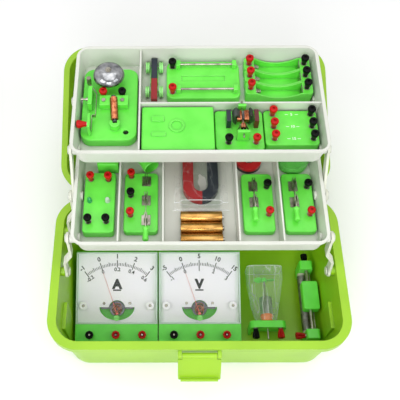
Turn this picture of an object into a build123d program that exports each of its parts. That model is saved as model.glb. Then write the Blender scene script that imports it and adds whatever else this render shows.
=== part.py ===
from build123d import *
import math
import os

# Electricity and magnetism kit in a folding three-layer case.
# X runs along the case, Y towards the hinge, Z up. The origin is the centre of the case's underside.
# The case is modelled open: lid laid back, both trays lifted on their arms.

# Case
case_height = 112.0
case_width = 340.0
case_depth = 185.0
case_corner = 30.0
case_draft = 7.0
case_wall = 3.0
case_floor = 3.0
case_foot_round = 6.0
case_inner_round = 2.0
rim_width = 355.0
rim_depth = 199.0
rim_height = 11.0
rim_thickness = 3.0
pilaster_length = 34.0
pilaster_depth = 4.0
pilaster_height = 78.0
pilaster_y = -47.0

# Lid and its hinge
lid_width = 350.0
lid_depth = 198.0
lid_height = 58.0
lid_wall = 2.6
lid_corner = 30.0
lid_draft = 7.0
lid_crown_round = 10.0
lid_flange = 5.0
lid_flange_height = 8.0
lid_gap = 0.4
lid_notch = 54.0
lid_open_angle = 162.0
hinge_offset = 4.5
hinge_rod_radius = 1.6
hinge_knuckle_radius = 4.0
hinge_knuckle_length = 22.0
hinge_knuckle_spacing = 110.0

# Carry handle and its pocket in the lid
pocket_length = 142.0
pocket_width = 58.0
pocket_depth = 15.0
pocket_shift = 16.0
pocket_wall = 2.6
pocket_cheek = 7.0
handle_leg = 33.0
handle_thickness = 8.0
handle_pin_radius = 2.5
handle_pin_reach = 4.0

# Latch
latch_width = 50.0
latch_length = 38.0
latch_thickness = 3.0
latch_pin_radius = 1.5
latch_knuckle_radius = 3.4
latch_ear_width = 4.5
latch_offset = 5.0
latch_drop = 8.0
latch_hang_angle = 28.0
latch_lip = 3.4
latch_lip_height = 3.0
latch_lip_inset = 3.0
latch_ear_gap = 0.4
latch_skirt_gap = 1.2
latch_corner = 2.5
latch_rib_width = 2.6
latch_rib_height = 2.2
latch_rib_place = 0.45
catch_reach = 2.4
catch_drop = 6.5
catch_height = 3.0
catch_inset = 8.0

# Trays
tray_length = 289.0
tray_width = 154.0
tray_depth = 30.0
tray_floor = 2.0
tray_wall = 2.0
tray_corner = 14.0
tray_draft = 3.5
tray_foot_round = 5.0
tray_inner_round = 0.8
tray_inner_corner = 9.5
tray_rim = 4.0
tray_rim_thickness = 3.0
divider_thickness = 2.0
divider_height = 26.0
mid_dividers = [-92.0, -41.5, 44.3, 93.5]
upper_divider_x = -68.0
upper_divider_y = -7.0

# Folding arms: both ends of a pair swing by the same angle, so the trays stay level
lower_arm_length = 70.0
lower_arm_open = 80.0
upper_arm_length = 58.5
upper_arm_open = 55.1
front_pivot_y = 0.5
arm_pivot_spacing = 55.0
upper_pivot_spacing = 68.8
base_pivot_drop = 9.0
mid_pivot_drop = 20.1
upper_pivot_drop = 25.1
mid_rear_pivot_offset = -3.8
upper_front_pivot_offset = -55.9
arm_thickness = 3.0
arm_width = 11.0
arm_head_radius = 7.0
arm_side_gap = 0.7
arm_layer_gap = 0.5
arm_jog = 9.3
pivot_radius = 3.0
pivot_clearance = 0.1
pivot_head_radius = 5.0
pivot_head_thickness = 1.4
boss_radius = 5.5
pivot_end_gap = 0.3
tray_knob_radius = 4.0
tray_knob_length = 2.6

# Terminal caps, studs and washers
cap_radius = 4.3
cap_foot_radius = 2.9
cap_height = 12.0
cap_dimple = 1.6
stud_radius = 1.2
washer_radius = 3.6
washer_thickness = 0.8

# Green module boards
board_wall = 2.0
board_corner = 7.0
board_edge = 1.4
board_height = 12.0
tall_board_height = 14.0
switch_board_height = 8.0

# Meters
meter_width = 107.0
meter_gap = 1.4
meter_pair_x = -49.3
meter_front_y = -67.0
meter_crease_y = -41.0
meter_front_height = 13.6
meter_slope = 20.0
strip_slope = 17.0
meter_face_length = 94.0
dial_margin = 1.8
dial_pocket_depth = 15.0
dial_depth = 5.0
dial_thickness = 1.0
window_thickness = 1.2
needle_pivot_v = 13.5
needle_length = 57.0
needle_tail = 7.0
needle_width = 0.9
needle_thickness = 0.6
needle_above_dial = 1.2
needle_hub_radius = 2.2
needle_zero_angle = 19.0
cutout_radius = 11.0
cutout_v = 20.0
smile_half_width = 23.0
smile_top_v = 22.0
smile_depth = 17.0
zero_knob_radius = 3.6
zero_knob_v = 8.0
meter_cap_pitch = 34.5
meter_cap_v = -13.0
meter_top_round = 1.5
meter_back_lean = 4.0
meter_back_drop = 6.0

# Small motor with its fan in a clear sleeve
motor_x = 92.0
motor_z = 27.0
motor_radius = 8.2
motor_length = 26.0
motor_rear_y = -6.0
motor_end_length = 8.0
motor_shaft_radius = 1.1
motor_shaft_reach = 30.0
bracket_width = 46.0
bracket_height = 40.0
bracket_thickness = 9.0
fan_width = 27.0
fan_chord = 9.0
fan_thickness = 2.2
fan_gap = 24.5
bag_wall = 0.8
bag_width = 44.0
bag_height = 33.6
bag_length = 75.0
fan_hub_radius = 3.2
fan_hub_length = 7.0
fan_tilt = 24.0
fan_corner = 2.4
bracket_corner = 6.0
bracket_cap_inset = 7.0
bracket_cap_rise = 4.0

# Sliding rheostat
rheo_x = 148.0
rheo_rear_y = 36.0
rheo_front_y = -58.0
rheo_bracket_thickness = 12.0
rheo_bracket_width = 17.0
rheo_bracket_height = 36.0
rheo_tube_x = -4.2
rheo_tube_z = 17.0
rheo_tube_radius = 5.2
rheo_wire = 1.6
rheo_turns = 23
rheo_rod_x = 0.6
rheo_rod_z = 29.0
rheo_rod_radius = 2.4
rheo_thin_rod_x = 5.6
rheo_thin_rod_z = 23.0
rheo_thin_rod_radius = 0.9
slider_length = 39.0
slider_width = 21.0
slider_height = 12.4
slider_clearance = 0.1
slider_rest_y = -6.5
slider_corner = 3.0
slider_top_round = 1.4
slider_rise = 1.6
slider_shift_x = 1.6
rheo_rear_cap_z = 27.0
rheo_side_cap_z = 26.0

# Bell
bell_x0 = -135.8
bell_x1 = -71.4
bell_y0 = -49.0
bell_y1 = 55.0
gong_x = -105.0
gong_y = 33.5
gong_radius = 18.4
gong_height = 10.0
gong_thickness = 1.0
gong_rim_z = 26.0
gong_post_radius = 2.0
gong_nut_radius = 4.0
coil_angle = 4.5
coil_x = -97.6
coil_y = -11.0
coil_z = 20.0
coil_length = 31.0
coil_core_radius = 2.6
coil_wire = 0.8
coil_turns = 23
coil_boss_radius = 6.0
hammer_radius = 2.6
clapper_thickness = 0.5
clapper_width = 5.0
clapper_x = -122.9
clapper_foot_y = -40.0
clapper_bend_y = -20.0
clapper_strip_x = -118.4
clapper_strip_end = 12.0
clapper_z = 16.0
clapper_wire_radius = 0.7
hammer_shift = (-9.6, 15.4)
hammer_length = 11.0
hammer_z = 23.5
bell_corner = 12.0
coil_shelf = (-115.0, -82.0, -5.0, 9.0)
coil_shelf_top = 20.0
contact_post = (-128.0, -123.4, -8.0, 18.0)
contact_post_top = 26.0
clapper_post = (-126.2, -123.4, -43.0, -24.0)
clapper_post_top = 30.0
gong_pillar_radius = 5.0
bell_peg_hole = (-83.9, -38.0)
bell_peg_hole_radius = 3.2
contact_screw = (-132.6, 3.0, 20.0)
contact_screw_radius = 1.2
contact_screw_length = 9.0
shelf_screws_x = [-110.4, -88.6]
shelf_screws_y = 1.8
screw_head_radius = 2.4
bell_red_cap_x = -111.2
bell_black_cap_x = -89.0
bell_caps_y = 13.4
bell_side_cap = (-35.0, 24.0)

# Trolley with bar magnet
trolley_x = -51.8
trolley_front_axle_y = 24.0
trolley_rear_axle_y = 61.0
wheel_radius = 7.0
wheel_width = 4.4
wheel_track = 16.4
wheel_groove_width = 1.2
wheel_groove_depth = 1.1
axle_radius = 1.1
frame_width = 8.0
frame_height = 6.0
frame_end = 5.0
frame_cheek = 0.8
frame_cheek_gap = 0.15
frame_cheek_rise = 3.0
frame_cheek_inset = 8.0
magnet_length = 62.0
magnet_width = 7.4
magnet_height = 5.0
magnet_y = 38.2

# Rail board
rail_x0 = -37.0
rail_x1 = 50.5
rail_y0 = 10.0
rail_y1 = 66.0
rail_radius = 1.3
rail_z = 16.0
rail_front_y = 20.9
rail_rear_y = 58.3
rail_corner = 9.0
rail_slot = (-19.0, 33.0, 36.0, 44.0)
rail_slot_depth = 1.2
rail_post = (5.0, 8.0, 3.0)
rail_left_post_inset = 14.0
rail_right_post_inset = 6.0
rail_cap_x = -30.0
rail_red_cap_y = 19.2
rail_black_cap_y = 57.6

# Battery holders
holder_x0 = 56.5
holder_x1 = 135.6
holder_first_y = 12.9
holder_corner = 3.5
holder_pitch = 18.4
holder_gap = 0.4
holder_wall = 1.5
holder_height = 16.0
holder_end = 12.0
holder_dip = 8.0
holder_dip_radius = 46.0
holder_red_cap_inset = 6.0
holder_black_cap_inset = 7.0
contact_thickness = 0.8
contact_half_width = 5.0
spring_radius = 4.6
spring_step = 0.8
spring_wire = 0.9
spring_pitch = 1.5
spring_pin_radius = 1.4
cell_centre_z = 9.0

# Motor model
model_x0 = 18.2
model_x1 = 73.4
model_y0 = -64.0
model_y1 = -9.6
armature_y = -27.0
armature_z = 27.0
armature_span = 24.0
field_gap = 1.2
field_thickness = 5.0
field_length = 16.0
field_height = 14.0
field_seat = 0.8
field_seat_edge = 1.2
model_corner = 5.0
model_shift = 3.2
model_caps_x = (32.8, 64.0)
model_caps_y = -54.0
bearing_thickness = 3.2
bearing_top = 4.0
front_bearing_y = -50.0
front_bearing_width = 14.0
rear_bearing_inset = 4.5
rear_bearing_width = 9.0
axle_front_y = -54.0
axle_rear_y = -10.4
shoe_thickness = 2.2
shoe_length = 12.0
shoe_reach = 8.6
commutator_radius = 3.0
commutator_length = 6.0
commutator_y = -14.0
winding_radius = 6.6
winding_wire = 1.0
winding_turns = 3
winding_length = 5.2
winding_x = 4.8
core_half = 2.6

# Resistor box and parts cover
resistor_x0 = 74.6
resistor_x1 = 135.8
resistor_y0 = -58.0
resistor_y1 = -9.6
resistor_red_x = 85.2
resistor_black_x = 128.9
resistor_rows = [-15.5, -32.5, -49.2]
cover_x0 = -65.4
cover_x1 = 16.8
cover_y0 = -68.2
cover_y1 = -9.6
cover_height = 22.0
cover_corner = 2.5
cover_ring = (-25.6, -37.0)
cover_ring_radius = 8.8
cover_ring_width = 2.2
cover_ring_rise = 1.8
cover_bars = [(-54.0, -40.0, -31.0, -24.0), (-54.0, -38.0, -51.0, -46.0)]
cover_bar_rise = 1.8

# Middle tray contents
led_board_box = (-134.4, -98.0, -54.0, 26.0)
led_radius = 2.5
led_height = 7.5
led_flange = 1.0
led_y = -13.0
led_x = [-127.4, -106.5]
led_board_corner = 4.0
led_red_caps = [(-127.5, 16.5), (-106.6, 16.0)]
led_black_caps = [(-127.5, -40.0), (-107.0, -40.0)]
spdt_box = (-87.4, -47.6, -52.0, 27.5)
left_switch_box = (51.6, 88.0, -52.0, 26.0)
right_switch_box = (99.4, 135.2, -52.0, 26.0)
blade_thickness = 1.0
blade_width = 5.0
blade_pivot_z = 15.0
blade_tail = 4.0
blade_pin_radius = 1.1
clip_half_width = 5.2
clip_half_length = 6.5
clip_jaw_half = 4.0
pivot_jaw_half = 5.0
clip_screw = (3.5, -4.2)
clip_screw_radius = 1.6
clip_screw_height = 1.2
handle_length = 17.0
handle_overlap = 3.0
handle_end_round = 1.4
switch_corner = 5.0
clip_gap = 0.4
clip_thickness = 0.8
clip_height = 13.0
handle_radius = 3.6
horseshoe_x = 3.0
horseshoe_front_y = -12.0
horseshoe_length = 74.0
horseshoe_inner = 8.5
horseshoe_arm = 12.6
horseshoe_thickness = 10.0
horseshoe_lift = 1.2
magnet_bag_wall = 0.6
magnet_bag_seal = 10.0
magnet_bag_gap = 1.0
magnet_bag_wing = 9.0
magnet_bag_fold = 1.2
cell_radius = 7.15
cell_length = 49.2
cell_button_radius = 2.7
cell_button = 1.3
cell_x = 3.4
cell_first_y = -61.2
cell_pitch = 14.45
ring_outer = 16.2
ring_inner = 7.0
ring_thickness = 5.0
ring_x = 62.2
ring_y = 47.0
compass_radius = 20.0
compass_height = 12.0
compass_x = 116.0
compass_y = 48.5
compass_wall = 3.0
compass_well = 3.0
parts_box = (-120.5, -95.0, 32.0, 60.0)
parts_box_height = 20.0
tube_radius = 10.0
tube_bore = 8.6
tube_length = 34.0
tube_floor = 2.0
tube_centre = (-64.0, 48.6, 10.2)
tube_turn = 30.0

# Where the trays stand when the kit is open
lid_plane = case_height + lid_gap
hinge_y = rim_depth / 2 + hinge_offset
hinge_z = case_height
base_pivot_z = case_height - base_pivot_drop
lower_rise = math.radians(lower_arm_open)
upper_rise = math.radians(upper_arm_open)
rear_pivot_y = front_pivot_y + arm_pivot_spacing
mid_pivot_y = rear_pivot_y + lower_arm_length * math.cos(lower_rise)
mid_pivot_z = base_pivot_z + lower_arm_length * math.sin(lower_rise)
mid_y = mid_pivot_y - mid_rear_pivot_offset
mid_z = mid_pivot_z + mid_pivot_drop - tray_depth + tray_floor
upper_pivot_y = mid_pivot_y + upper_arm_length * math.cos(upper_rise)
upper_pivot_z = mid_pivot_z + upper_arm_length * math.sin(upper_rise)
upper_y = upper_pivot_y - upper_front_pivot_offset
upper_z = upper_pivot_z + upper_pivot_drop - tray_depth + tray_floor
mid_place = Pos(0, mid_y, mid_z)
upper_place = Pos(0, upper_y, upper_z)
inner_depth = tray_depth - tray_floor
inner_arm_x = tray_length / 2 + arm_side_gap
outer_arm_x = inner_arm_x + arm_thickness + arm_layer_gap
foot_arm_x = outer_arm_x + arm_jog

nodes = {}


def keep(name, *solids):
    nodes.setdefault(name, []).extend(solids)


def span(x0, x1, y0, y1, z0, z1):
    size = Box(abs(x1 - x0), abs(y1 - y0), abs(z1 - z0))
    return Pos((x0 + x1) / 2, (y0 + y1) / 2, (z0 + z1) / 2) * size


def rod(radius, length, at, axis="Z"):
    turn = {"X": Rot(0, 90, 0), "Y": Rot(-90, 0, 0), "Z": Rot(0, 0, 0)}[axis]
    return Pos(*at) * turn * Cylinder(radius, length)


def slab(width, depth, height, corner):
    return extrude(RectangleRounded(width, depth, corner), height)


def tub(width, depth, height, corner, draft, foot_round):
    # A drafted tub: widest at the top, with its lower edge rounded.
    foot = RectangleRounded(width - 2 * draft, depth - 2 * draft, corner - draft / 2)
    top = Pos(0, 0, height) * RectangleRounded(width, depth, corner)
    body = loft([foot, top], ruled=True)
    return fillet(body.edges().group_by(Axis.Z)[0], foot_round)


def frame_ring(width, depth, height, corner, inner_width, inner_depth, inner_corner):
    outer = slab(width, depth, height, corner)
    return outer - Pos(0, 0, -1) * slab(inner_width, inner_depth, height + 2, inner_corner)


def board(x0, x1, y0, y1, height, corner=board_corner):
    # A module board: a shallow box, open below, with soft upper edges.
    width, depth = x1 - x0, y1 - y0
    shell = fillet(slab(width, depth, height, corner).edges().group_by(Axis.Z)[-1], board_edge)
    inside = slab(width - 2 * board_wall, depth - 2 * board_wall, height - board_wall,
                  corner - board_wall)
    return Pos((x0 + x1) / 2, (y0 + y1) / 2, 0) * (shell - inside)


def cap_solid():
    with_edge = cap_radius - 0.7
    side = Polyline((0, 0), (cap_foot_radius, 0), (cap_foot_radius, 1.2), (cap_radius, 7.0),
                    (cap_radius, cap_height - 1.2), (with_edge, cap_height),
                    (cap_dimple, cap_height), (0, cap_height - 0.8), (0, 0))
    return revolve(Plane.XZ * make_face(side), Axis.Z)


terminal_cap = cap_solid()
terminal_washer = Pos(0, 0, washer_thickness / 2) * Cylinder(washer_radius, washer_thickness)


def terminals(place, points, cap_node, metal_node):
    # Caps stand on washers: each point is x, y and the height of the board under it.
    for x, y, z in points:
        spot = place * Pos(x, y, z)
        keep(cap_node, spot * Pos(0, 0, washer_thickness) * terminal_cap)
        keep(metal_node, spot * terminal_washer)


def half_turn_arcs(start, start_dir, end, end_dir):
    # Two tangent arcs that join two points with given directions.
    chord = end - start
    both = start_dir + end_dir
    spread = 2 * (1 - start_dir.dot(end_dir))
    reach = (math.sqrt(chord.dot(both) ** 2 + spread * chord.dot(chord)) - chord.dot(both)) / spread
    joint = (start + start_dir * reach + end - end_dir * reach) * 0.5
    first = Edge.make_tangent_arc(start, start_dir, joint)
    second = Edge.make_tangent_arc(joint, first % 1, end)
    return [first, second]


def winding(radius, wire, turns, length):
    # One unbroken wire wound along X, made of quarter-turn steps with straight lead-outs.
    pitch = length / turns
    steps = turns * 4
    arcs = []

    def at(step):
        angle = math.pi / 2 * step
        return Vector(pitch * step / 4 - length / 2, radius * math.cos(angle),
                      radius * math.sin(angle))

    def heading(step):
        angle = math.pi / 2 * step
        return Vector(pitch / (2 * math.pi * radius), -math.sin(angle), math.cos(angle)).normalized()

    for step in range(steps):
        arcs += half_turn_arcs(at(step), heading(step), at(step + 1), heading(step + 1))
    path = Wire(arcs)
    section = Plane(origin=at(0), z_dir=heading(0)) * Circle(wire / 2)
    print(f"winding: {turns} turns, least gap {pitch - wire:.2f} mm, wire {wire} mm")
    return sweep(section, path=path)


def make_case():
    outer = tub(case_width, case_depth, case_height, case_corner, case_draft, case_foot_round)
    inner = Pos(0, 0, case_floor) * tub(
        case_width - 2 * case_wall, case_depth - 2 * case_wall, case_height - case_floor,
        case_corner - case_wall, case_draft * (1 - case_floor / case_height), case_inner_round)
    inner_top = (case_width - 2 * case_wall, case_depth - 2 * case_wall, case_corner - case_wall)
    rim_corner = case_corner + (rim_width - case_width) / 2
    top = Pos(0, 0, case_height - rim_thickness) * frame_ring(
        rim_width, rim_depth, rim_thickness, rim_corner, *inner_top)
    skirt = Pos(0, 0, case_height - rim_height) * frame_ring(
        rim_width, rim_depth, rim_height, rim_corner, rim_width - 2 * rim_thickness,
        rim_depth - 2 * rim_thickness, rim_corner - rim_thickness)
    body = outer - inner + top + skirt
    lean = case_draft * (1 - pilaster_height / case_height)
    wall_x = case_width / 2 - case_wall - lean
    for side in (-1, 1):
        post = span(side * (wall_x - pilaster_depth), side * (wall_x + 1.5),
                    pilaster_y - pilaster_length / 2, pilaster_y + pilaster_length / 2,
                    case_floor / 2, pilaster_height)
        body += post & outer
        for y in (front_pivot_y, rear_pivot_y):
            inside = foot_arm_x + arm_thickness + arm_layer_gap
            reach = case_width / 2 - case_wall / 2 - 0.5 - inside
            boss = rod(boss_radius, reach, (side * (inside + reach / 2), y, base_pivot_z), "X")
            body += boss
            body -= rod(pivot_radius, 2 * reach,
                        (side * (inside + reach / 2 - case_wall / 2), y, base_pivot_z), "X")
    return body


def knuckles(centres, y, z, radius, length, bore, arm_y, arm_z0, arm_z1):
    # Hinge knuckles along X, each with a web that joins it to its own part.
    parts = []
    for x in centres:
        parts.append(rod(radius, length, (x, y, z), "X"))
        parts.append(span(x - length / 2, x + length / 2, min(y, arm_y), max(y, arm_y),
                          arm_z0, arm_z1))
    hole = rod(bore, rim_width, (0, y, z), "X")
    return parts, hole


def hinge_centres(part):
    shift = (hinge_knuckle_length + 0.8) / 2 * (1 if part == "lid" else -1)
    return [x + shift for x in (-hinge_knuckle_spacing, 0, hinge_knuckle_spacing)]


def make_base():
    body = make_case()
    parts, hole = knuckles(hinge_centres("case"), hinge_y, hinge_z, hinge_knuckle_radius,
                           hinge_knuckle_length, hinge_rod_radius, rim_depth / 2 - 1,
                           case_height - rim_height + 1, hinge_z - 1.2)
    for piece in parts:
        body += piece
    body -= hole
    ear_x = latch_width / 2 - latch_ear_width / 2
    latch_y = -rim_depth / 2 - latch_offset
    latch_z = case_height - latch_drop
    for side in (-1, 1):
        body += rod(latch_knuckle_radius, latch_ear_width, (side * ear_x, latch_y, latch_z), "X")
        body += span(side * ear_x - latch_ear_width / 2, side * ear_x + latch_ear_width / 2,
                     latch_y, -rim_depth / 2 + 1, latch_z - latch_knuckle_radius + 0.6,
                     latch_z + latch_knuckle_radius)
    body -= rod(latch_pin_radius, latch_width + 2, (0, latch_y, latch_z), "X")
    keep("case_base", body)
    for x in hinge_centres("case"):
        length = 2 * hinge_knuckle_length + 0.8
        keep("case_pins", rod(hinge_rod_radius - 0.02, length,
                              (x + hinge_knuckle_length / 2 + 0.4, hinge_y, hinge_z), "X"))
    keep("case_pins", rod(latch_pin_radius - 0.02, latch_width, (0, latch_y, latch_z), "X"))
    for side in (-1, 1):
        for y in (front_pivot_y, rear_pivot_y):
            inner_x = foot_arm_x - arm_layer_gap
            outer_x = case_width / 2 - case_wall - 1.0
            shank = rod(pivot_radius - 0.02, outer_x - inner_x,
                        (side * (inner_x + outer_x) / 2, y, base_pivot_z), "X")
            head = rod(pivot_head_radius, pivot_head_thickness,
                       (side * (inner_x - pivot_head_thickness / 2), y, base_pivot_z), "X")
            keep("case_pins", shank + head)


def open_lid(shape):
    hinge = Pos(0, hinge_y, hinge_z)
    return hinge * Rot(-lid_open_angle, 0, 0) * Pos(0, -hinge_y, -hinge_z) * shape


def handle_pivot():
    return (0, lid_plane + lid_height - pocket_depth / 2)


def make_lid():
    def dome(width, depth, height, corner, crown):
        low = RectangleRounded(width, depth, corner)
        high = Pos(0, 0, height) * RectangleRounded(width - 2 * lid_draft, depth - 2 * lid_draft,
                                                    corner - lid_draft / 2)
        return fillet(loft([low, high], ruled=True).edges().group_by(Axis.Z)[-1], crown)

    outer = dome(lid_width - 2 * lid_flange, lid_depth - 2 * lid_flange, lid_height, lid_corner,
                 lid_crown_round)
    inner = dome(lid_width - 2 * (lid_flange + lid_wall), lid_depth - 2 * (lid_flange + lid_wall),
                 lid_height - lid_wall, lid_corner - lid_wall, lid_crown_round - lid_wall)
    low, high = lid_height - pocket_depth, lid_height
    pocket = span(-pocket_length / 2, pocket_length / 2, pocket_shift - pocket_width / 2,
                  pocket_shift + pocket_width / 2, low, high + 1)
    cheek = pocket_length / 2 + pocket_cheek
    housing = span(-cheek, cheek, pocket_shift - pocket_width / 2 - pocket_wall,
                   pocket_shift + pocket_width / 2 + pocket_wall, low - pocket_wall, high)
    flange = frame_ring(lid_width, lid_depth, lid_flange_height, lid_corner + lid_flange,
                        lid_width - 2 * (lid_flange + lid_wall),
                        lid_depth - 2 * (lid_flange + lid_wall), lid_corner - lid_wall)
    body = outer - (inner - housing) - pocket + flange
    bore = rod(handle_pin_radius + pivot_clearance, pocket_length + 2 * handle_pin_reach + 1,
               (0, 0, high - pocket_depth / 2), "X")
    body -= bore
    notch = span(-lid_notch / 2, lid_notch / 2, -lid_depth / 2 - 1, -lid_depth / 2 + lid_flange,
                 -1, lid_flange_height + 1)
    body -= notch
    catch_z = latch_length - latch_drop - catch_drop
    wall_y = -lid_depth / 2 + lid_flange + lid_draft * catch_z / lid_height
    catch_half = latch_width / 2 - catch_inset
    body += span(-catch_half, catch_half, -lid_depth / 2 - catch_reach, wall_y + 1,
                 catch_z - catch_height, catch_z)
    body = Pos(0, 0, lid_plane) * body
    parts, hole = knuckles(hinge_centres("lid"), hinge_y, hinge_z, hinge_knuckle_radius,
                           hinge_knuckle_length, hinge_rod_radius + pivot_clearance,
                           lid_depth / 2 - 1, lid_plane + 0.6, lid_plane + 3.6)
    for piece in parts:
        body += piece
    body -= hole
    keep("lid", open_lid(body))

    pivot_y, pivot_z = handle_pivot()
    half = pocket_length / 2 - 1.2
    thick = handle_thickness
    low = pivot_z - thick / 2
    grip = span(-half, half, pivot_y + handle_leg - thick, pivot_y + handle_leg, low, low + thick)
    grip = fillet(grip.edges().filter_by(Axis.X), thick * 0.3)
    handle = grip
    for side in (-1, 1):
        leg = span(side * half - (thick if side > 0 else 0), side * half + (0 if side > 0 else thick),
                   pivot_y, pivot_y + handle_leg - thick / 2, low, low + thick)
        eye = rod(thick / 2, thick, (side * (half - thick / 2), pivot_y, pivot_z), "X")
        reach = 1.2 + handle_pin_reach
        peg = rod(handle_pin_radius, reach + thick, (side * (half - thick + (reach + thick) / 2),
                                                     pivot_y, pivot_z), "X")
        handle = handle + leg + eye + peg
    keep("carry_handle", open_lid(handle))


def make_latch():
    y = -rim_depth / 2 - latch_offset
    z = case_height - latch_drop
    face = latch_thickness / 2
    inside = latch_width / 2 - latch_ear_width - latch_ear_gap
    barrel = rod(latch_knuckle_radius, 2 * inside, (0, 0, 0), "X")
    skirt = latch_knuckle_radius + latch_skirt_gap
    neck = span(-inside, inside, -face, face, -skirt - 2, 0)
    plate = span(-latch_width / 2, latch_width / 2, -face, face, -latch_length, -skirt)
    plate = fillet(plate.edges().filter_by(Axis.Y), latch_corner)
    lip_half = latch_width / 2 - latch_lip_inset
    lip_low = -latch_length + 0.6
    lip = span(-lip_half, lip_half, -face - latch_lip, 0, lip_low, lip_low + latch_lip_height)
    flap = barrel + neck + plate + lip
    for side in (-1, 1):
        x = side * latch_rib_place * latch_width
        flap += span(x - latch_rib_width / 2, x + latch_rib_width / 2, -face,
                     face + latch_rib_height, -latch_length + 3, -skirt - 3)
    flap -= rod(latch_pin_radius + pivot_clearance, latch_width, (0, 0, 0), "X")
    keep("latch", Pos(0, y, z) * Rot(-latch_hang_angle, 0, 0) * flap)


def arm_pair(node, start_y, start_z, length, angle, foot_x, head_x, hole_radius):
    # A flat moulded arm for each side. The foot may stand further out than the head.
    for side in (-1, 1):
        heads = []
        for x, along in ((foot_x, 0), (head_x, length)):
            heads.append(rod(arm_head_radius, arm_thickness, (along, 0, x + arm_thickness / 2)))
        jog = foot_x - head_x
        turn_start, turn_end = length * 0.34, length * 0.56
        if jog < 0.01:
            turn_start = turn_end = length / 2
        half = arm_width / 2
        web = span(0, turn_start + 0.01, -half, half, foot_x, foot_x + arm_thickness)
        tip = span(turn_end - 0.01, length, -half, half, head_x, head_x + arm_thickness)
        arm = heads[0] + heads[1] + web + tip
        if jog > 0.01:
            side_view = Polyline((turn_start, foot_x), (turn_end, head_x),
                                 (turn_end, head_x + arm_thickness),
                                 (turn_start, foot_x + arm_thickness), (turn_start, foot_x))
            slope = extrude(Plane.XZ * make_face(side_view), arm_width)
            arm += Pos(0, half, 0) * slope
        for along in (0, length):
            arm -= rod(hole_radius, 4 * jog + 40, (along, 0, foot_x))
        # local X runs along the arm, local Z outwards to the side
        outwards = Plane(origin=(0, start_y, start_z),
                         x_dir=(0, math.cos(angle), math.sin(angle)), z_dir=(side, 0, 0))
        keep(node, outwards * arm)


def make_arms():
    bore = pivot_radius + pivot_clearance
    arm_pair("lower_front_arms", front_pivot_y, base_pivot_z, lower_arm_length, lower_rise,
             foot_arm_x, outer_arm_x, bore)
    arm_pair("lower_rear_arms", rear_pivot_y, base_pivot_z, lower_arm_length, lower_rise,
             foot_arm_x, outer_arm_x, bore)
    arm_pair("upper_front_arms", mid_pivot_y, mid_pivot_z, upper_arm_length, upper_rise,
             inner_arm_x, inner_arm_x, bore)
    arm_pair("upper_rear_arms", mid_pivot_y + upper_pivot_spacing, mid_pivot_z, upper_arm_length,
             upper_rise, inner_arm_x, inner_arm_x, bore)


def tray_shell():
    # The tray's own frame: centre of the floor, Z = 0 on the floor's upper face.
    width = tray_length - 2 * (tray_rim - tray_wall)
    depth = tray_width - 2 * (tray_rim - tray_wall)
    outer = Pos(0, 0, -tray_floor) * tub(width, depth, tray_depth, tray_corner, tray_draft,
                                         tray_foot_round)
    inner = tub(width - 2 * tray_wall, depth - 2 * tray_wall, inner_depth + 0.01,
                tray_inner_corner, tray_draft, tray_inner_round)
    rim = Pos(0, 0, inner_depth - tray_rim_thickness) * frame_ring(
        tray_length, tray_width, tray_rim_thickness, tray_corner + tray_rim - tray_wall,
        width - 2 * tray_wall, depth - 2 * tray_wall, tray_inner_corner)
    return outer - inner + rim


def tray_divider_room():
    width = tray_length - 2 * (tray_rim - tray_wall)
    depth = tray_width - 2 * (tray_rim - tray_wall)
    return tub(width - tray_wall, depth - tray_wall, inner_depth, tray_inner_corner + tray_wall / 2,
               tray_draft, tray_inner_round)


def tray_pivot(y, drop, layers):
    # A moulded pivot through the arms, with a knob inside and a head outside.
    parts = []
    z = inner_depth - drop
    wall = tray_length / 2 - tray_rim - tray_draft - 1.0
    first = inner_arm_x if "inner" in layers else outer_arm_x
    last = (outer_arm_x if "outer" in layers else inner_arm_x) + arm_thickness
    seat = first - pivot_end_gap
    end = last + pivot_end_gap
    for side in (-1, 1):
        parts.append(rod(boss_radius, seat - wall, (side * (seat + wall) / 2, y, z), "X"))
        parts.append(rod(pivot_radius, end - wall, (side * (end + wall) / 2, y, z), "X"))
        parts.append(rod(pivot_head_radius, pivot_head_thickness,
                         (side * (end + pivot_head_thickness / 2), y, z), "X"))
        parts.append(rod(tray_knob_radius, tray_knob_length, (side * (wall + 1.5), y, z), "X"))
    return parts


def make_trays():
    room = tray_divider_room()
    mid = tray_shell()
    half = divider_thickness / 2
    for x in mid_dividers:
        mid += room & span(x - half, x + half, -tray_width, tray_width, -0.5, divider_height)
    pivots = tray_pivot(mid_rear_pivot_offset, mid_pivot_drop, ("inner", "outer"))
    pivots += tray_pivot(mid_rear_pivot_offset - arm_pivot_spacing, mid_pivot_drop, ("outer",))
    pivots += tray_pivot(mid_rear_pivot_offset + upper_pivot_spacing, mid_pivot_drop, ("inner",))
    for piece in pivots:
        mid += piece
    keep("mid_tray", mid_place * mid)

    upper = tray_shell()
    upper += room & span(upper_divider_x - half, upper_divider_x + half, -tray_width, tray_width,
                         -0.5, divider_height)
    upper += room & span(upper_divider_x, tray_length, upper_divider_y - half,
                         upper_divider_y + half, -0.5, divider_height)
    pivots = tray_pivot(upper_front_pivot_offset, upper_pivot_drop, ("inner",))
    pivots += tray_pivot(upper_front_pivot_offset + upper_pivot_spacing, upper_pivot_drop,
                         ("inner",))
    for piece in pivots:
        upper += piece
    keep("upper_tray", upper_place * upper)


def meter_frames(x):
    crease_z = case_floor + meter_front_height + (meter_crease_y - meter_front_y) * math.tan(
        math.radians(strip_slope))
    face = Pos(x, meter_crease_y, crease_z) * Rot(meter_slope, 0, 0)
    strip = Pos(x, meter_crease_y, crease_z) * Rot(strip_slope, 0, 0)
    return face, strip, crease_z


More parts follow.
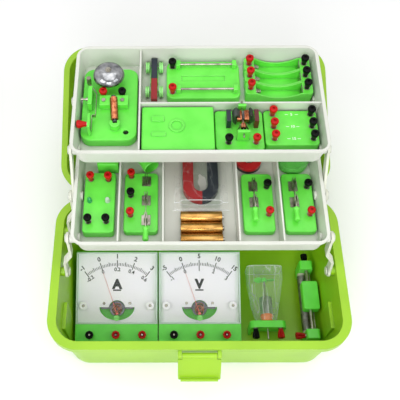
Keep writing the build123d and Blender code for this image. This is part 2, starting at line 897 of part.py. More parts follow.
def make_meter(name, x):
    face, strip, crease_z = meter_frames(x)
    rise = meter_face_length * math.sin(math.radians(meter_slope))
    back_y = meter_crease_y + meter_face_length * math.cos(math.radians(meter_slope))
    top_z = crease_z + rise
    wall_y = back_y + meter_back_lean
    side = Polyline((meter_front_y, case_floor), (meter_front_y, case_floor + meter_front_height),
                    (meter_crease_y, crease_z), (back_y, top_z), (wall_y, top_z - meter_back_drop),
                    (wall_y, case_floor), (meter_front_y, case_floor))
    body = extrude(Plane.YZ * make_face(side), meter_width / 2, both=True)
    body = fillet(body.edges().filter_by(Axis.X).sort_by(Axis.Z)[-2:], meter_top_round)
    panel_w = meter_width - 2 * dial_margin
    panel_l = meter_face_length - 2 * dial_margin
    mid_v = meter_face_length / 2
    own = face * Pos(0, mid_v, 0)
    # The dial sits in a wide shallow step, the movement in a smaller deep well.
    step = Box(panel_w, panel_l, 2 * (dial_depth + dial_thickness))
    well_w, well_l = 2 * smile_half_width + 8, 2 * cutout_radius + 12
    well_v = cutout_v - 1.0
    well = face * Pos(0, well_v, 0) * Box(well_w, well_l, 2 * dial_pocket_depth)
    body = Pos(x, 0, 0) * body - own * step - well
    # Knurled terminal studs pass through the strip.
    cap_spots = [-meter_cap_pitch * 0.98, 0, meter_cap_pitch * 0.98]
    keep("meter_cases", body)

    dial = own * Pos(0, 0, -dial_depth - dial_thickness / 2) * Box(
        panel_w - 0.4, panel_l - 0.4, dial_thickness)
    cut_round = face * Pos(0, cutout_v, -dial_depth) * Cylinder(cutout_radius, 6)
    smile = Ellipse(smile_half_width, smile_depth) & (
        Pos(0, -smile_depth / 2) * Rectangle(2 * smile_half_width, smile_depth))
    cut_smile = face * Pos(0, smile_top_v, -dial_depth - 3) * extrude(smile, 6)
    keep("meter_dials", dial - cut_round - cut_smile)

    window = own * Pos(0, 0, -window_thickness / 2 - 0.2) * Box(
        panel_w - 0.4, panel_l - 0.4, window_thickness)
    window -= face * Pos(0, zero_knob_v, 0) * Cylinder(zero_knob_radius - 0.9, 8)
    keep("meter_windows", window)

    well_floor = -dial_pocket_depth
    drum_h = dial_pocket_depth - dial_depth - dial_thickness - 1.0
    magnet = Cylinder(cutout_radius - 1.2, drum_h) - Cylinder(cutout_radius - 4.2, drum_h + 1)
    magnet -= Pos(0, -cutout_radius, 0) * Box(6, 2 * cutout_radius - 4, drum_h + 1)
    core = Cylinder(cutout_radius - 5.4, drum_h - 1)
    drum = face * Pos(0, cutout_v, well_floor + drum_h / 2)
    bridge = face * Pos(0, cutout_v + 2, well_floor + drum_h + 0.4) * Box(
        2 * smile_half_width - 4, 4.5, 0.8)
    stand = face * Pos(0, cutout_v + 2, well_floor + drum_h / 2) * (
        Pos(smile_half_width - 4, 0, 0) * Box(3, 4.5, drum_h)
        + Pos(-smile_half_width + 4, 0, 0) * Box(3, 4.5, drum_h))
    keep("meter_movements", drum * magnet, drum * core, bridge + stand)

    hub_z = -dial_depth + needle_above_dial
    turned = face * Pos(0, needle_pivot_v, hub_z) * Rot(0, 0, needle_zero_angle)
    blade = span(-needle_width / 2, needle_width / 2, -needle_tail, needle_length,
                 -needle_thickness / 2, needle_thickness / 2)
    hub = Cylinder(needle_hub_radius, 2.0)
    staff = Pos(0, 0, -2.6) * Cylinder(0.6, 4)
    keep(name + "_needle", turned * (blade + hub + staff))

    knob = face * Pos(0, zero_knob_v, 0)
    stem_radius = zero_knob_radius - 1.0
    button = Pos(0, 0, 0.5) * Cylinder(zero_knob_radius, 1.0) + Pos(0, 0, -0.8) * Cylinder(
        stem_radius, 1.6)
    button -= Pos(0, 0, 1.0) * Box(2 * zero_knob_radius, 0.9, 0.9)
    keep(name + "_zero_knob", knob * Pos(0, 0, 0.1) * button)

    colours = ["base_black_caps", "base_red_caps", "base_red_caps"]
    for spot, node in zip(cap_spots, colours):
        place = strip * Pos(spot, meter_cap_v, 0)
        keep("base_studs", place * terminal_washer + place * Pos(0, 0, 4) * Cylinder(
            stud_radius, 2))
        keep(node, place * Pos(0, 0, washer_thickness) * (terminal_cap - Pos(
            0, 0, 2) * Cylinder(stud_radius + 0.02, 6.4)))


def make_meters():
    shift = (meter_width + meter_gap) / 2
    make_meter("ammeter", meter_pair_x - shift)
    make_meter("voltmeter", meter_pair_x + shift)


def make_motor():
    front_y = motor_rear_y - motor_length
    middle_y = (motor_rear_y + front_y) / 2
    bore = motor_shaft_radius + 1
    can = rod(motor_radius, motor_length, (motor_x, middle_y, motor_z), "Y")
    can -= rod(bore, motor_length + 2, (motor_x, middle_y, motor_z), "Y")
    keep("motor_can", can)
    end_y = front_y - motor_end_length
    bracket_y = end_y - bracket_thickness
    plate = span(motor_x - bracket_width / 2, motor_x + bracket_width / 2, bracket_y, end_y,
                 case_floor, case_floor + bracket_height)
    plate = fillet(plate.edges().filter_by(Axis.Y), bracket_corner)
    collar = rod(motor_radius - 0.6, motor_end_length,
                 (motor_x, front_y - motor_end_length / 2, motor_z), "Y")
    plate += collar
    plate -= rod(bore, 60, (motor_x, end_y, motor_z), "Y")
    keep("motor_bracket", plate)
    shaft_front = front_y - motor_shaft_reach
    fan_y = motor_rear_y + fan_gap
    shaft_rear = fan_y + fan_hub_length / 2 + 0.5
    shaft = rod(motor_shaft_radius, shaft_rear - shaft_front,
                (motor_x, (shaft_rear + shaft_front) / 2, motor_z), "Y")
    fan_hub = rod(fan_hub_radius, fan_hub_length, (motor_x, fan_y, motor_z), "Y")
    for side in (-1, 1):
        blade = Box(fan_width / 2, fan_thickness, fan_chord)
        blade = fillet(blade.edges().filter_by(Axis.Y), fan_corner)
        fan_hub += Pos(motor_x + side * (fan_width / 4 + 1.6), fan_y, motor_z) * Rot(
            side * fan_tilt, 0, 0) * blade
    fan_hub -= rod(motor_shaft_radius, 20, (motor_x, fan_y, motor_z), "Y")
    keep("motor_rotor", shaft, fan_hub)
    sleeve = Box(bag_width, bag_length, bag_height)
    sleeve -= Pos(0, -bag_wall, 0) * Box(bag_width - 2 * bag_wall, bag_length,
                                         bag_height - 2 * bag_wall)
    keep("motor_bag", Pos(motor_x, end_y + bag_length / 2, motor_z) * sleeve)
    for side, node in ((-1, "base_black_caps"), (1, "base_red_caps")):
        place = Pos(motor_x + side * (bracket_width / 2 - bracket_cap_inset), bracket_y,
                    motor_z + bracket_cap_rise) * Rot(90, 0, 0)
        keep("base_studs", place * terminal_washer)
        keep(node, place * Pos(0, 0, washer_thickness) * terminal_cap)


def make_rheostat():
    middle = (rheo_rear_y + rheo_front_y) / 2
    inner_len = rheo_rear_y - rheo_front_y - rheo_bracket_thickness
    z0 = case_floor
    for y in (rheo_rear_y, rheo_front_y):
        foot = span(rheo_x - rheo_bracket_width / 2, rheo_x + rheo_bracket_width / 2,
                    y - rheo_bracket_thickness / 2, y + rheo_bracket_thickness / 2, z0,
                    z0 + rheo_bracket_height)
        keep("rheostat_frame", fillet(foot.edges().filter_by(Axis.Y), 3.0))
    tube = rod(rheo_tube_radius, inner_len, (rheo_x + rheo_tube_x, middle, z0 + rheo_tube_z), "Y")
    keep("rheostat_tube", tube)
    wound = winding(rheo_tube_radius + rheo_wire / 2 + 0.05, rheo_wire, rheo_turns,
                    inner_len - 6)
    keep("rheostat_winding", Pos(rheo_x + rheo_tube_x, middle, z0 + rheo_tube_z) * Rot(
        0, 0, 90) * wound)
    for dx, dz, radius in ((rheo_rod_x, rheo_rod_z, rheo_rod_radius),
                           (rheo_thin_rod_x, rheo_thin_rod_z, rheo_thin_rod_radius)):
        keep("rheostat_rods", rod(radius, inner_len, (rheo_x + dx, middle, z0 + dz), "Y"))
    knob = Box(slider_width, slider_length, slider_height)
    knob = fillet(knob.edges().filter_by(Axis.Z), slider_corner)
    knob = fillet(knob.edges().group_by(Axis.Z)[-1], slider_top_round)
    knob = Pos(rheo_x + slider_shift_x, slider_rest_y, z0 + rheo_rod_z + slider_rise) * knob
    knob -= rod(rheo_rod_radius + slider_clearance, slider_length + 4,
                (rheo_x + rheo_rod_x, slider_rest_y, z0 + rheo_rod_z), "Y")
    slot_top = z0 + rheo_thin_rod_z + rheo_thin_rod_radius + 0.6
    knob -= span(rheo_x + rheo_thin_rod_x - 1.8, rheo_x + rheo_thin_rod_x + 1.8,
                 slider_rest_y - slider_length, slider_rest_y + slider_length, z0, slot_top)
    keep("rheostat_slider", knob)
    rear_place = Pos(rheo_x, rheo_rear_y + rheo_bracket_thickness / 2,
                     z0 + rheo_rear_cap_z) * Rot(-90, 0, 0)
    keep("base_studs", rear_place * terminal_washer)
    keep("base_black_caps", rear_place * Pos(0, 0, washer_thickness) * terminal_cap)
    side_place = Pos(rheo_x - rheo_bracket_width / 2, rheo_front_y,
                     z0 + rheo_side_cap_z) * Rot(0, -90, 0)
    keep("base_studs", side_place * terminal_washer)
    keep("base_red_caps", side_place * Pos(0, 0, washer_thickness) * terminal_cap)


def make_bell():
    lift = board_height
    body = board(bell_x0, bell_x1, bell_y0, bell_y1, board_height, bell_corner)
    body += span(*coil_shelf, lift - 1, coil_shelf_top)
    body += span(*contact_post, lift - 1, contact_post_top)
    body += span(*clapper_post, lift - 1, clapper_post_top)
    body += rod(gong_pillar_radius, gong_rim_z - lift,
                (gong_x, gong_y, (gong_rim_z + lift) / 2 - 1))
    boss_y = coil_y - coil_length / 2 - 4
    body += rod(coil_boss_radius, coil_z - lift + 1, (coil_x + 1.4, boss_y, (coil_z + lift) / 2))
    body -= rod(bell_peg_hole_radius, 2 * lift, (*bell_peg_hole, lift))
    coil_place = Pos(coil_x, coil_y, coil_z) * Rot(0, 0, 90 + coil_angle)
    core_length = coil_length + 9
    body -= coil_place * rod(coil_core_radius, core_length, (0, 0, 0), "X")
    body -= coil_place * rod(coil_core_radius + 2 * coil_wire, coil_length + 1.4, (0, 0, 0), "X")
    keep("bell_base", upper_place * body)

    rise = gong_height / 2
    profile = [(gong_radius, 0), (gong_radius - 1.0, rise), (gong_radius * 0.62, gong_height - 2),
               (gong_radius * 0.42, gong_height - 1.2), (gong_radius * 0.36, gong_height),
               (0, gong_height)]
    inner = [(r - gong_thickness if r else 0, h - gong_thickness if h else 0) for r, h in profile]
    outline = Polyline(*profile, *reversed(inner), profile[0])
    shell = revolve(Plane.XZ * make_face(outline), Axis.Z)
    shell -= Cylinder(gong_post_radius, 4 * gong_height)
    post = Cylinder(gong_post_radius, gong_height + 3)
    nut = extrude(RegularPolygon(gong_nut_radius, 6), 2.6)
    nut -= Cylinder(gong_post_radius, 20)
    spot = upper_place * Pos(gong_x, gong_y, gong_rim_z)
    keep("bell_gong", spot * shell, spot * Pos(0, 0, gong_height / 2 + 1) * post,
         spot * Pos(0, 0, gong_height) * nut)

    core = rod(coil_core_radius, core_length, (0, 0, 0), "X")
    wound = winding(coil_core_radius + coil_wire / 2 + 0.05, coil_wire, coil_turns, coil_length)
    keep("bell_coil", upper_place * coil_place * core, upper_place * coil_place * wound)

    head_x = contact_screw[0] + 3.2
    screw = rod(contact_screw_radius, contact_screw_length, contact_screw, "X")
    screw += rod(screw_head_radius, 2.4, (head_x, *contact_screw[1:]), "X")
    keep("upper_metal_parts", upper_place * screw)
    for x in shelf_screws_x:
        keep("upper_metal_parts", upper_place * rod(
            screw_head_radius, 1.2, (x, shelf_screws_y, coil_shelf_top + 0.6)))

    top = clapper_z + clapper_width
    inner_x = clapper_strip_x - clapper_thickness
    foot = span(clapper_x, clapper_x + clapper_thickness, clapper_foot_y, clapper_bend_y,
                clapper_z, top)
    bend = span(clapper_x, clapper_strip_x, clapper_bend_y, clapper_bend_y + clapper_thickness,
                clapper_z, top)
    strip = span(inner_x, clapper_strip_x, clapper_bend_y, clapper_strip_end, clapper_z, top)
    root_x = (inner_x + clapper_strip_x) / 2
    tip_x, tip_y = root_x + hammer_shift[0], clapper_strip_end + hammer_shift[1]
    lean = math.degrees(math.atan2(-hammer_shift[0], hammer_shift[1]))
    wire = Pos((root_x + tip_x) / 2, (clapper_strip_end + tip_y) / 2,
               (clapper_z + top) / 2) * Rot(0, 0, lean) * rod(
        clapper_wire_radius, math.hypot(*hammer_shift) + 0.1, (0, 0, 0), "Y")
    hammer = rod(hammer_radius, hammer_length, (tip_x, tip_y, hammer_z))
    keep("bell_clapper", upper_place * (foot + bend + strip + wire + hammer))

    terminals(upper_place, [(bell_red_cap_x, bell_caps_y, lift)], "upper_red_caps",
              "upper_metal_parts")
    terminals(upper_place, [(bell_black_cap_x, bell_caps_y, lift)], "upper_black_caps",
              "upper_metal_parts")
    side_place = upper_place * Pos(clapper_post[0], *bell_side_cap) * Rot(0, -90, 0)
    keep("upper_metal_parts", side_place * terminal_washer)
    keep("upper_red_caps", side_place * Pos(0, 0, washer_thickness) * terminal_cap)


def make_trolley():
    axle_z = wheel_radius
    low = axle_z - frame_height / 2
    top = low + frame_height
    frame = span(trolley_x - frame_width / 2, trolley_x + frame_width / 2,
                 trolley_front_axle_y - frame_end, trolley_rear_axle_y + frame_end, low, top)
    inner = frame_width / 2 - frame_cheek_gap
    for side in (-1, 1):
        near, far = trolley_x + side * inner, trolley_x + side * (inner + frame_cheek)
        frame += span(min(near, far), max(near, far), trolley_front_axle_y + frame_cheek_inset,
                      trolley_rear_axle_y - frame_cheek_inset, axle_z, top + frame_cheek_rise)
    for y in (trolley_front_axle_y, trolley_rear_axle_y):
        frame -= rod(axle_radius + pivot_clearance, 20, (trolley_x, y, axle_z), "X")
    keep("trolley_frame", upper_place * frame)
    keep("bar_magnet", upper_place * span(
        trolley_x - magnet_width / 2, trolley_x + magnet_width / 2, magnet_y - magnet_length / 2,
        magnet_y + magnet_length / 2, top, top + magnet_height))
    for name, y in (("front_wheels", trolley_front_axle_y), ("rear_wheels", trolley_rear_axle_y)):
        axle = rod(axle_radius, wheel_track + wheel_width, (trolley_x, y, axle_z), "X")
        for side in (-1, 1):
            spot = (trolley_x + side * wheel_track / 2, y, axle_z)
            groove = rod(wheel_radius, wheel_groove_width, spot, "X")
            groove -= rod(wheel_radius - wheel_groove_depth, wheel_groove_width + 1, spot, "X")
            axle += rod(wheel_radius - 0.3, wheel_width, spot, "X") - groove
        keep(name, upper_place * axle)


def make_rail_board():
    body = board(rail_x0, rail_x1, rail_y0, rail_y1, board_height, rail_corner)
    body -= span(*rail_slot, board_height - rail_slot_depth, board_height + 1)
    wide, deep, above = rail_post
    left, right = rail_x0 + rail_left_post_inset, rail_x1 - rail_right_post_inset
    for y in (rail_front_y, rail_rear_y):
        for x in (left, right):
            body += span(x - wide / 2, x + wide / 2, y - deep / 2, y + deep / 2, board_height - 1,
                         rail_z + above)
    keep("upper_boards", upper_place * body)
    for y in (rail_front_y, rail_rear_y):
        keep("upper_metal_parts", upper_place * rod(
            rail_radius, right - left - wide, ((left + right) / 2, y, rail_z), "X"))
    terminals(upper_place, [(rail_cap_x, rail_red_cap_y, board_height)], "upper_red_caps",
              "upper_metal_parts")
    terminals(upper_place, [(rail_cap_x, rail_black_cap_y, board_height)], "upper_black_caps",
              "upper_metal_parts")


def make_battery_holders():
    width = holder_pitch - holder_gap
    for step in range(3):
        y0 = holder_first_y + step * holder_pitch
        body = span(holder_x0, holder_x1, y0, y0 + width, 0, holder_height)
        body = fillet(body.edges().filter_by(Axis.Z), holder_corner)
        trough0, trough1 = holder_x0 + holder_end, holder_x1 - holder_end
        body -= span(trough0, trough1, y0 + holder_wall, y0 + width - holder_wall, holder_wall,
                     holder_height + 1)
        middle = (holder_x0 + holder_x1) / 2
        body -= rod(holder_dip_radius, width + 2,
                    (middle, y0 + width / 2, holder_height - holder_dip + holder_dip_radius), "Y")
        keep("battery_holders", upper_place * body)
        y = y0 + width / 2
        for x, node in ((holder_x0 + holder_red_cap_inset, "upper_red_caps"),
                        (holder_x1 - holder_black_cap_inset, "upper_black_caps")):
            terminals(upper_place, [(x, y, holder_height)], node, "upper_metal_parts")
        contact = span(trough1 - contact_thickness, trough1, y - contact_half_width,
                       y + contact_half_width, holder_wall, holder_height - 1)
        keep("upper_metal_parts", upper_place * contact)
        spring = rod(spring_pin_radius, 5.0, (trough0 + 2.5, y, cell_centre_z), "X")
        for turn in range(3):
            x = trough0 + spring_wire / 2 + spring_pitch * turn
            spring += rod(spring_radius - spring_step * turn, spring_wire,
                          (x, y, cell_centre_z), "X")
        keep("upper_metal_parts", upper_place * spring)


def make_motor_model():
    lift = tall_board_height
    x = (model_x0 + model_x1) / 2 + model_shift
    body = board(model_x0, model_x1, model_y0, model_y1, lift, model_corner)
    half = bearing_thickness / 2
    for y, wide in ((model_y1 - rear_bearing_inset, rear_bearing_width),
                    (front_bearing_y, front_bearing_width)):
        body += span(x - wide / 2, x + wide / 2, y - half, y + half, lift - 1,
                     armature_z + bearing_top)
        body -= rod(axle_radius + pivot_clearance, 8, (x, y, armature_z), "Y")
    reach = armature_span / 2 + field_gap
    seat_half = field_length / 2 + 2
    for side in (-1, 1):
        near, far = x + side * reach, x + side * (reach + field_thickness)
        low, high = min(near, far), max(near, far)
        keep("field_magnets", upper_place * span(
            low, high, armature_y - field_length / 2, armature_y + field_length / 2,
            lift + field_seat, lift + field_seat + field_height))
        body += span(low - field_seat_edge, high + field_seat_edge, armature_y - seat_half,
                     armature_y + seat_half, lift - 1, lift + field_seat)
    keep("motor_model", upper_place * body)
    axle = rod(axle_radius, axle_rear_y - axle_front_y,
               (x, (axle_front_y + axle_rear_y) / 2, armature_z), "Y")
    core = span(x - armature_span / 2 + 1, x + armature_span / 2 - 1, armature_y - core_half,
                armature_y + core_half, armature_z - core_half, armature_z + core_half)
    rotor = axle + core
    outer = armature_span / 2
    for side in (-1, 1):
        shoe = rod(outer, shoe_length, (x, armature_y, armature_z), "Y")
        shoe -= rod(outer - shoe_thickness, shoe_length + 2, (x, armature_y, armature_z), "Y")
        near, far = x + side * shoe_reach, x + side * 2 * outer
        rotor += shoe & span(min(near, far), max(near, far), armature_y - shoe_length,
                             armature_y + shoe_length, armature_z - outer, armature_z + outer)
    rotor += rod(commutator_radius, commutator_length,
                 (x, armature_y + commutator_y, armature_z), "Y")
    keep("armature", upper_place * rotor)
    wound = winding(winding_radius, winding_wire, winding_turns, winding_length)
    for side in (-1, 1):
        keep("armature", upper_place * Pos(x + side * winding_x, armature_y, armature_z) * wound)
    for cap_x, node in zip(model_caps_x, ("upper_black_caps", "upper_red_caps")):
        terminals(upper_place, [(cap_x, model_caps_y, lift)], node, "upper_metal_parts")


def make_resistor_and_cover():
    lift = tall_board_height
    body = board(resistor_x0, resistor_x1, resistor_y0, resistor_y1, lift, model_corner)
    keep("upper_boards", upper_place * body)
    for y in resistor_rows:
        terminals(upper_place, [(resistor_red_x, y, lift)], "upper_red_caps", "upper_metal_parts")
        terminals(upper_place, [(resistor_black_x, y, lift)], "upper_black_caps",
                  "upper_metal_parts")
    cover = board(cover_x0, cover_x1, cover_y0, cover_y1, cover_height, cover_corner)
    ring = Cylinder(cover_ring_radius, cover_ring_rise + 0.4)
    ring -= Cylinder(cover_ring_radius - cover_ring_width, cover_ring_rise + 2)
    cover += Pos(*cover_ring, cover_height + cover_ring_rise / 2 - 0.2) * ring
    for bar in cover_bars:
        cover += span(*bar, cover_height - 1, cover_height + cover_bar_rise)
    keep("upper_boards", upper_place * cover)


def knife_switch(box, x, pivot_y, clip_ys, cap_x, reds, blacks, name, reach):
    # One board, a metal pivot clip, one or two jaws and a blade with a moulded handle.
    lift = switch_board_height
    keep("switch_boards", mid_place * board(*box, lift, switch_corner))
    terminals(mid_place, [(cap_x, y, lift) for y in reds], "mid_red_caps", "switch_contacts")
    terminals(mid_place, [(cap_x, y, lift) for y in blacks], "mid_black_caps", "switch_contacts")
    half = blade_thickness / 2 + clip_gap
    screw_x, screw_y = clip_screw
    for y in [pivot_y] + clip_ys:
        jaw = span(x - clip_half_width, x + clip_half_width, y - clip_half_length,
                   y + clip_half_length, lift, lift + clip_thickness)
        deep = pivot_jaw_half if y == pivot_y else clip_jaw_half
        for side in (-1, 1):
            near, far = x + side * half, x + side * (half + clip_thickness)
            jaw += span(min(near, far), max(near, far), y - deep, y + deep, lift,
                        lift + clip_height)
        if y == pivot_y:
            jaw += rod(blade_pin_radius, 2 * half + 2, (x, y, blade_pivot_z), "X")
        screw = rod(clip_screw_radius, clip_screw_height,
                    (x + screw_x, y + screw_y, lift + clip_thickness + clip_screw_height / 2))
        keep("switch_contacts", mid_place * jaw, mid_place * screw)
    turned = Pos(x, pivot_y, blade_pivot_z)
    blade = span(-blade_thickness / 2, blade_thickness / 2, -reach, blade_tail, -blade_width / 2,
                 blade_width / 2)
    blade -= rod(blade_pin_radius + pivot_clearance, 8, (0, 0, 0), "X")
    grip = rod(handle_radius, handle_length, (0, handle_overlap - reach - handle_length / 2, 0), "Y")
    grip = fillet(grip.edges().sort_by(Axis.Y)[0], handle_end_round)
    grip -= span(-blade_thickness / 2, blade_thickness / 2, -reach, reach, -blade_width / 2,
                 blade_width / 2)
    keep(name, mid_place * turned * blade, mid_place * turned * grip)


def make_mid_contents():
    lift = board_height
    keep("switch_boards", mid_place * board(*led_board_box, lift, led_board_corner))
    for spots, node in ((led_red_caps, "mid_red_caps"), (led_black_caps, "mid_black_caps")):
        terminals(mid_place, [(*spot, lift) for spot in spots], node, "switch_contacts")
    stem = led_height - led_radius
    for x in led_x:
        lamp = Pos(0, 0, led_flange / 2) * Cylinder(led_radius + 0.4, led_flange)
        lamp += Pos(0, 0, stem / 2) * Cylinder(led_radius, stem)
        lamp += Pos(0, 0, stem) * Sphere(led_radius)
        keep("leds", mid_place * Pos(x, led_y, lift) * lamp)

    # Each blade lies closed, in the jaw towards the front.
    knife_switch(spdt_box, -61.4, -10.5, [-36.5, 15.6], -79.6, [22.6, -29.6], [-3.6],
                 "double_throw_blade", 41.5)
    knife_switch(left_switch_box, 65.0, 8.0, [-13.5], 81.3, [-29.0], [7.4],
                 "left_switch_blade", 35.0)
    knife_switch(right_switch_box, 112.4, 8.0, [-13.5], 129.0, [-29.0], [7.4],
                 "right_switch_blade", 35.0)

    thick = horseshoe_thickness
    z0 = horseshoe_lift
    outer = horseshoe_inner + horseshoe_arm
    centre_y = horseshoe_front_y + outer
    straight = horseshoe_length - outer
    outline = Polyline((outer, 0), (outer, straight), (horseshoe_inner, straight),
                       (horseshoe_inner, 0))
    outline += ThreePointArc((horseshoe_inner, 0), (0, -horseshoe_inner), (-horseshoe_inner, 0))
    outline += Polyline((-horseshoe_inner, 0), (-horseshoe_inner, straight), (-outer, straight),
                        (-outer, 0))
    outline += ThreePointArc((-outer, 0), (0, -outer), (outer, 0))
    magnet = extrude(make_face(outline), thick)
    keep("horseshoe_magnet", mid_place * Pos(horseshoe_x, centre_y, z0) * magnet)
    bag_half = outer + magnet_bag_gap + magnet_bag_wall
    bag_long = horseshoe_length + 4
    bag_high = thick + 2 * z0 + magnet_bag_wall
    pouch = Box(2 * bag_half, bag_long, bag_high)
    pouch -= Box(2 * (bag_half - magnet_bag_wall), bag_long - 2 * magnet_bag_wall,
                 bag_high - 2 * magnet_bag_wall)
    for side in (-1, 1):
        pouch += Pos(side * (bag_half + magnet_bag_wing / 2 - 0.1), 0, 0) * Box(
            magnet_bag_wing, bag_long, magnet_bag_fold)
    pouch += Pos(0, -bag_long / 2 - magnet_bag_seal / 2 + 0.1, 0) * Box(
        2 * (bag_half + magnet_bag_wing), magnet_bag_seal, magnet_bag_fold)
    keep("magnet_bag", mid_place * Pos(
        horseshoe_x, horseshoe_front_y + horseshoe_length / 2, z0 + thick / 2 + 0.3) * pouch)

    for step in range(3):
        y = cell_first_y + step * cell_pitch
        cell = rod(cell_radius, cell_length, (cell_x, y, cell_radius), "X")
        cell = fillet(cell.edges().filter_by(GeomType.CIRCLE), 0.8)
        cell += rod(cell_button_radius, cell_button + 0.5,
                    (cell_x + cell_length / 2 + cell_button / 2, y, cell_radius), "X")
        keep("aa_cells", mid_place * cell)

    ring = Cylinder(ring_outer, ring_thickness) - Cylinder(ring_inner, ring_thickness + 1)
    for layer in range(2):
        keep("ring_magnets", mid_place * Pos(
            ring_x, ring_y, ring_thickness * (layer + 0.5)) * ring)

    case = Cylinder(compass_radius, compass_height)
    case = fillet(case.edges().filter_by(GeomType.CIRCLE), 1.6)
    case -= Pos(0, 0, compass_height / 2) * Cylinder(compass_radius - compass_wall,
                                                     2 * compass_well)
    keep("parts_cases", mid_place * Pos(compass_x, compass_y, compass_height / 2) * case)
    keep("parts_cases", mid_place * span(*parts_box, 0, parts_box_height))
    tube = Cylinder(tube_radius, tube_length)
    tube -= Pos(0, 0, tube_floor) * Cylinder(tube_bore, tube_length)
    keep("parts_cases", mid_place * Pos(*tube_centre) * Rot(0, 0, tube_turn) * Rot(90, 0, 0) * tube)


make_base()
make_lid()
make_latch()
make_arms()
make_trays()
make_meters()
make_motor()
make_rheostat()
make_bell()
make_trolley()
make_rail_board()
make_battery_holders()
make_motor_model()
make_resistor_and_cover()
make_mid_contents()

os.makedirs("parts", exist_ok=True)
for name, solids in nodes.items():
    shape = solids[0] if len(solids) == 1 else Compound(children=solids)
    export_step(shape, f"parts/{name}.step")
print(len(nodes), "nodes")
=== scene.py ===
import bpy, bmesh, math, random
import numpy as np
from mathutils import Matrix, Vector, noise


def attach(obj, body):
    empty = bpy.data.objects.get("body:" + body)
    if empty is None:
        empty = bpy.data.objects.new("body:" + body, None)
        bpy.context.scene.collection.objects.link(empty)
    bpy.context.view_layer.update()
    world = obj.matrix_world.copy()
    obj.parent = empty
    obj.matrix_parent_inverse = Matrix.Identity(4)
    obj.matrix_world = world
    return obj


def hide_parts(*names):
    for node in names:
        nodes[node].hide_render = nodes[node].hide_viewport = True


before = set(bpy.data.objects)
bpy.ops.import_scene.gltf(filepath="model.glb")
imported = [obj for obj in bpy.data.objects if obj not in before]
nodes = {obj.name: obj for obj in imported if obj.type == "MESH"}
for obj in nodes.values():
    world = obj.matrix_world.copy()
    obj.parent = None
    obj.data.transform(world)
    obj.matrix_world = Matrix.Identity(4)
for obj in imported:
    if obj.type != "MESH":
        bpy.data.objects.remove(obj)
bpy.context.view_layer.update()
mm = 0.001
print("frame loaded with", len(nodes), "nodes")

middleTray = Vector((0, 71.455, 164.037))
upperTray = Vector((0, 157.026, 217.017))


# colour and node helpers

def hexColour(text):
    # sRGB hex to the linear values that the shaders use
    parts = [int(text[i:i + 2], 16) / 255 for i in (1, 3, 5)]
    linear = [c / 12.92 if c <= 0.04045 else ((c + 0.055) / 1.055) ** 2.4 for c in parts]
    return (*linear, 1.0)


def addNode(tree, kind, settings=None, links=None):
    # one shader node with its values, a ramp's two stops, and the sockets that feed it
    made = tree.nodes.new("ShaderNode" + kind)
    for key, value in (settings or {}).items():
        if key == "stops":
            for point, (position, colour) in zip(made.color_ramp.elements, value):
                point.position = position
                point.color = hexColour(colour)
        elif key in made.inputs:
            made.inputs[key].default_value = value
        else:
            setattr(made, key, value)
    for key, source in (links or {}).items():
        tree.links.new(source, made.inputs[key])
    return made


def startMaterial(name):
    # an empty material, its tree, and the place on the piece that its patterns follow
    made = bpy.data.materials.new(name)
    made.use_nodes = True
    tree = made.node_tree
    tree.nodes.clear()
    return made, tree, addNode(tree, "TexCoord").outputs["Object"]


def perMetre(size):
    # a noise scale whose features are about this many millimetres across
    return 1 / (size * mm)


# materials

def mouldedPlastic(name, look):
    # Injection-moulded plastic: even colour that drifts a little with the melt's flow, a fine
    # spark-eroded grain, and edges that are soft and paler, partly from handling and partly as a
    # painted highlight. The grain of such a mould is about 0.1 mm and is drawn some six times
    # coarser, so that it shows.
    made, tree, place = startMaterial(name)
    flow = addNode(tree, "TexNoise", {"Scale": perMetre(look["flowMm"]), "Detail": 3.0},
                   {"Vector": place})
    tone = addNode(tree, "ValToRGB", {"stops": [(0.3, look["shade"]), (0.62, look["colour"])]},
                   {"Fac": flow.outputs["Fac"]})
    # the paler edges are partly wear and partly a painted highlight
    soft = addNode(tree, "Bevel", {"Radius": look["edgeMm"] * mm, "samples": 4})
    flat = addNode(tree, "NewGeometry")
    turn = addNode(tree, "VectorMath", {"operation": "DOT_PRODUCT"},
                   {0: soft.outputs["Normal"], 1: flat.outputs["Normal"]})
    edge = addNode(tree, "MapRange", {"From Min": 0.995, "From Max": 0.86, "To Max": look["edgeWearHighlight"]},
                   {"Value": turn.outputs["Value"]})
    paint = addNode(tree, "MixRGB", {"Color2": hexColour(look["edgeWearHighlightColour"])},
                    {"Fac": edge.outputs["Result"], "Color1": tone.outputs["Color"]})
    # painted shade: where ambient occlusion finds corners and grooves, the colour is multiplied
    # towards a grey green, so that their relief shows
    nook = addNode(tree, "AmbientOcclusion", {"Distance": 3.5 * mm, "samples": 6})
    paintedShade = addNode(tree, "MapRange", {"From Min": 0.25, "From Max": 0.85, "To Min": 0.55,
                                      "To Max": 0.0}, {"Value": nook.outputs["AO"]})
    deep = addNode(tree, "MixRGB", {"blend_type": "MULTIPLY", "Color2": hexColour("#7f9a78")},
                   {"Fac": paintedShade.outputs["Result"], "Color1": paint.outputs["Color"]})
    grain = addNode(tree, "TexNoise", {"Scale": perMetre(look["grainMm"]), "Detail": 4.0,
                                       "Roughness": 0.6}, {"Vector": place})
    bump = addNode(tree, "Bump", {"Strength": look["grain"], "Distance": 0.12 * mm},
                   {"Height": grain.outputs["Fac"], "Normal": soft.outputs["Normal"]})
    sheen = addNode(tree, "MapRange", {"To Min": look["rough"] - 0.05,
                                       "To Max": look["rough"] + 0.08},
                    {"Value": grain.outputs["Fac"]})
    skin = addNode(tree, "BsdfPrincipled", {"IOR": look.get("ior", 1.5),
                                            "Specular IOR Level": look.get("shine", 0.5)},
                   {"Base Color": deep.outputs["Color"], "Roughness": sheen.outputs["Result"],
                    "Normal": bump.outputs["Normal"]})
    addNode(tree, "OutputMaterial", links={"Surface": skin.outputs["BSDF"]})
    return made


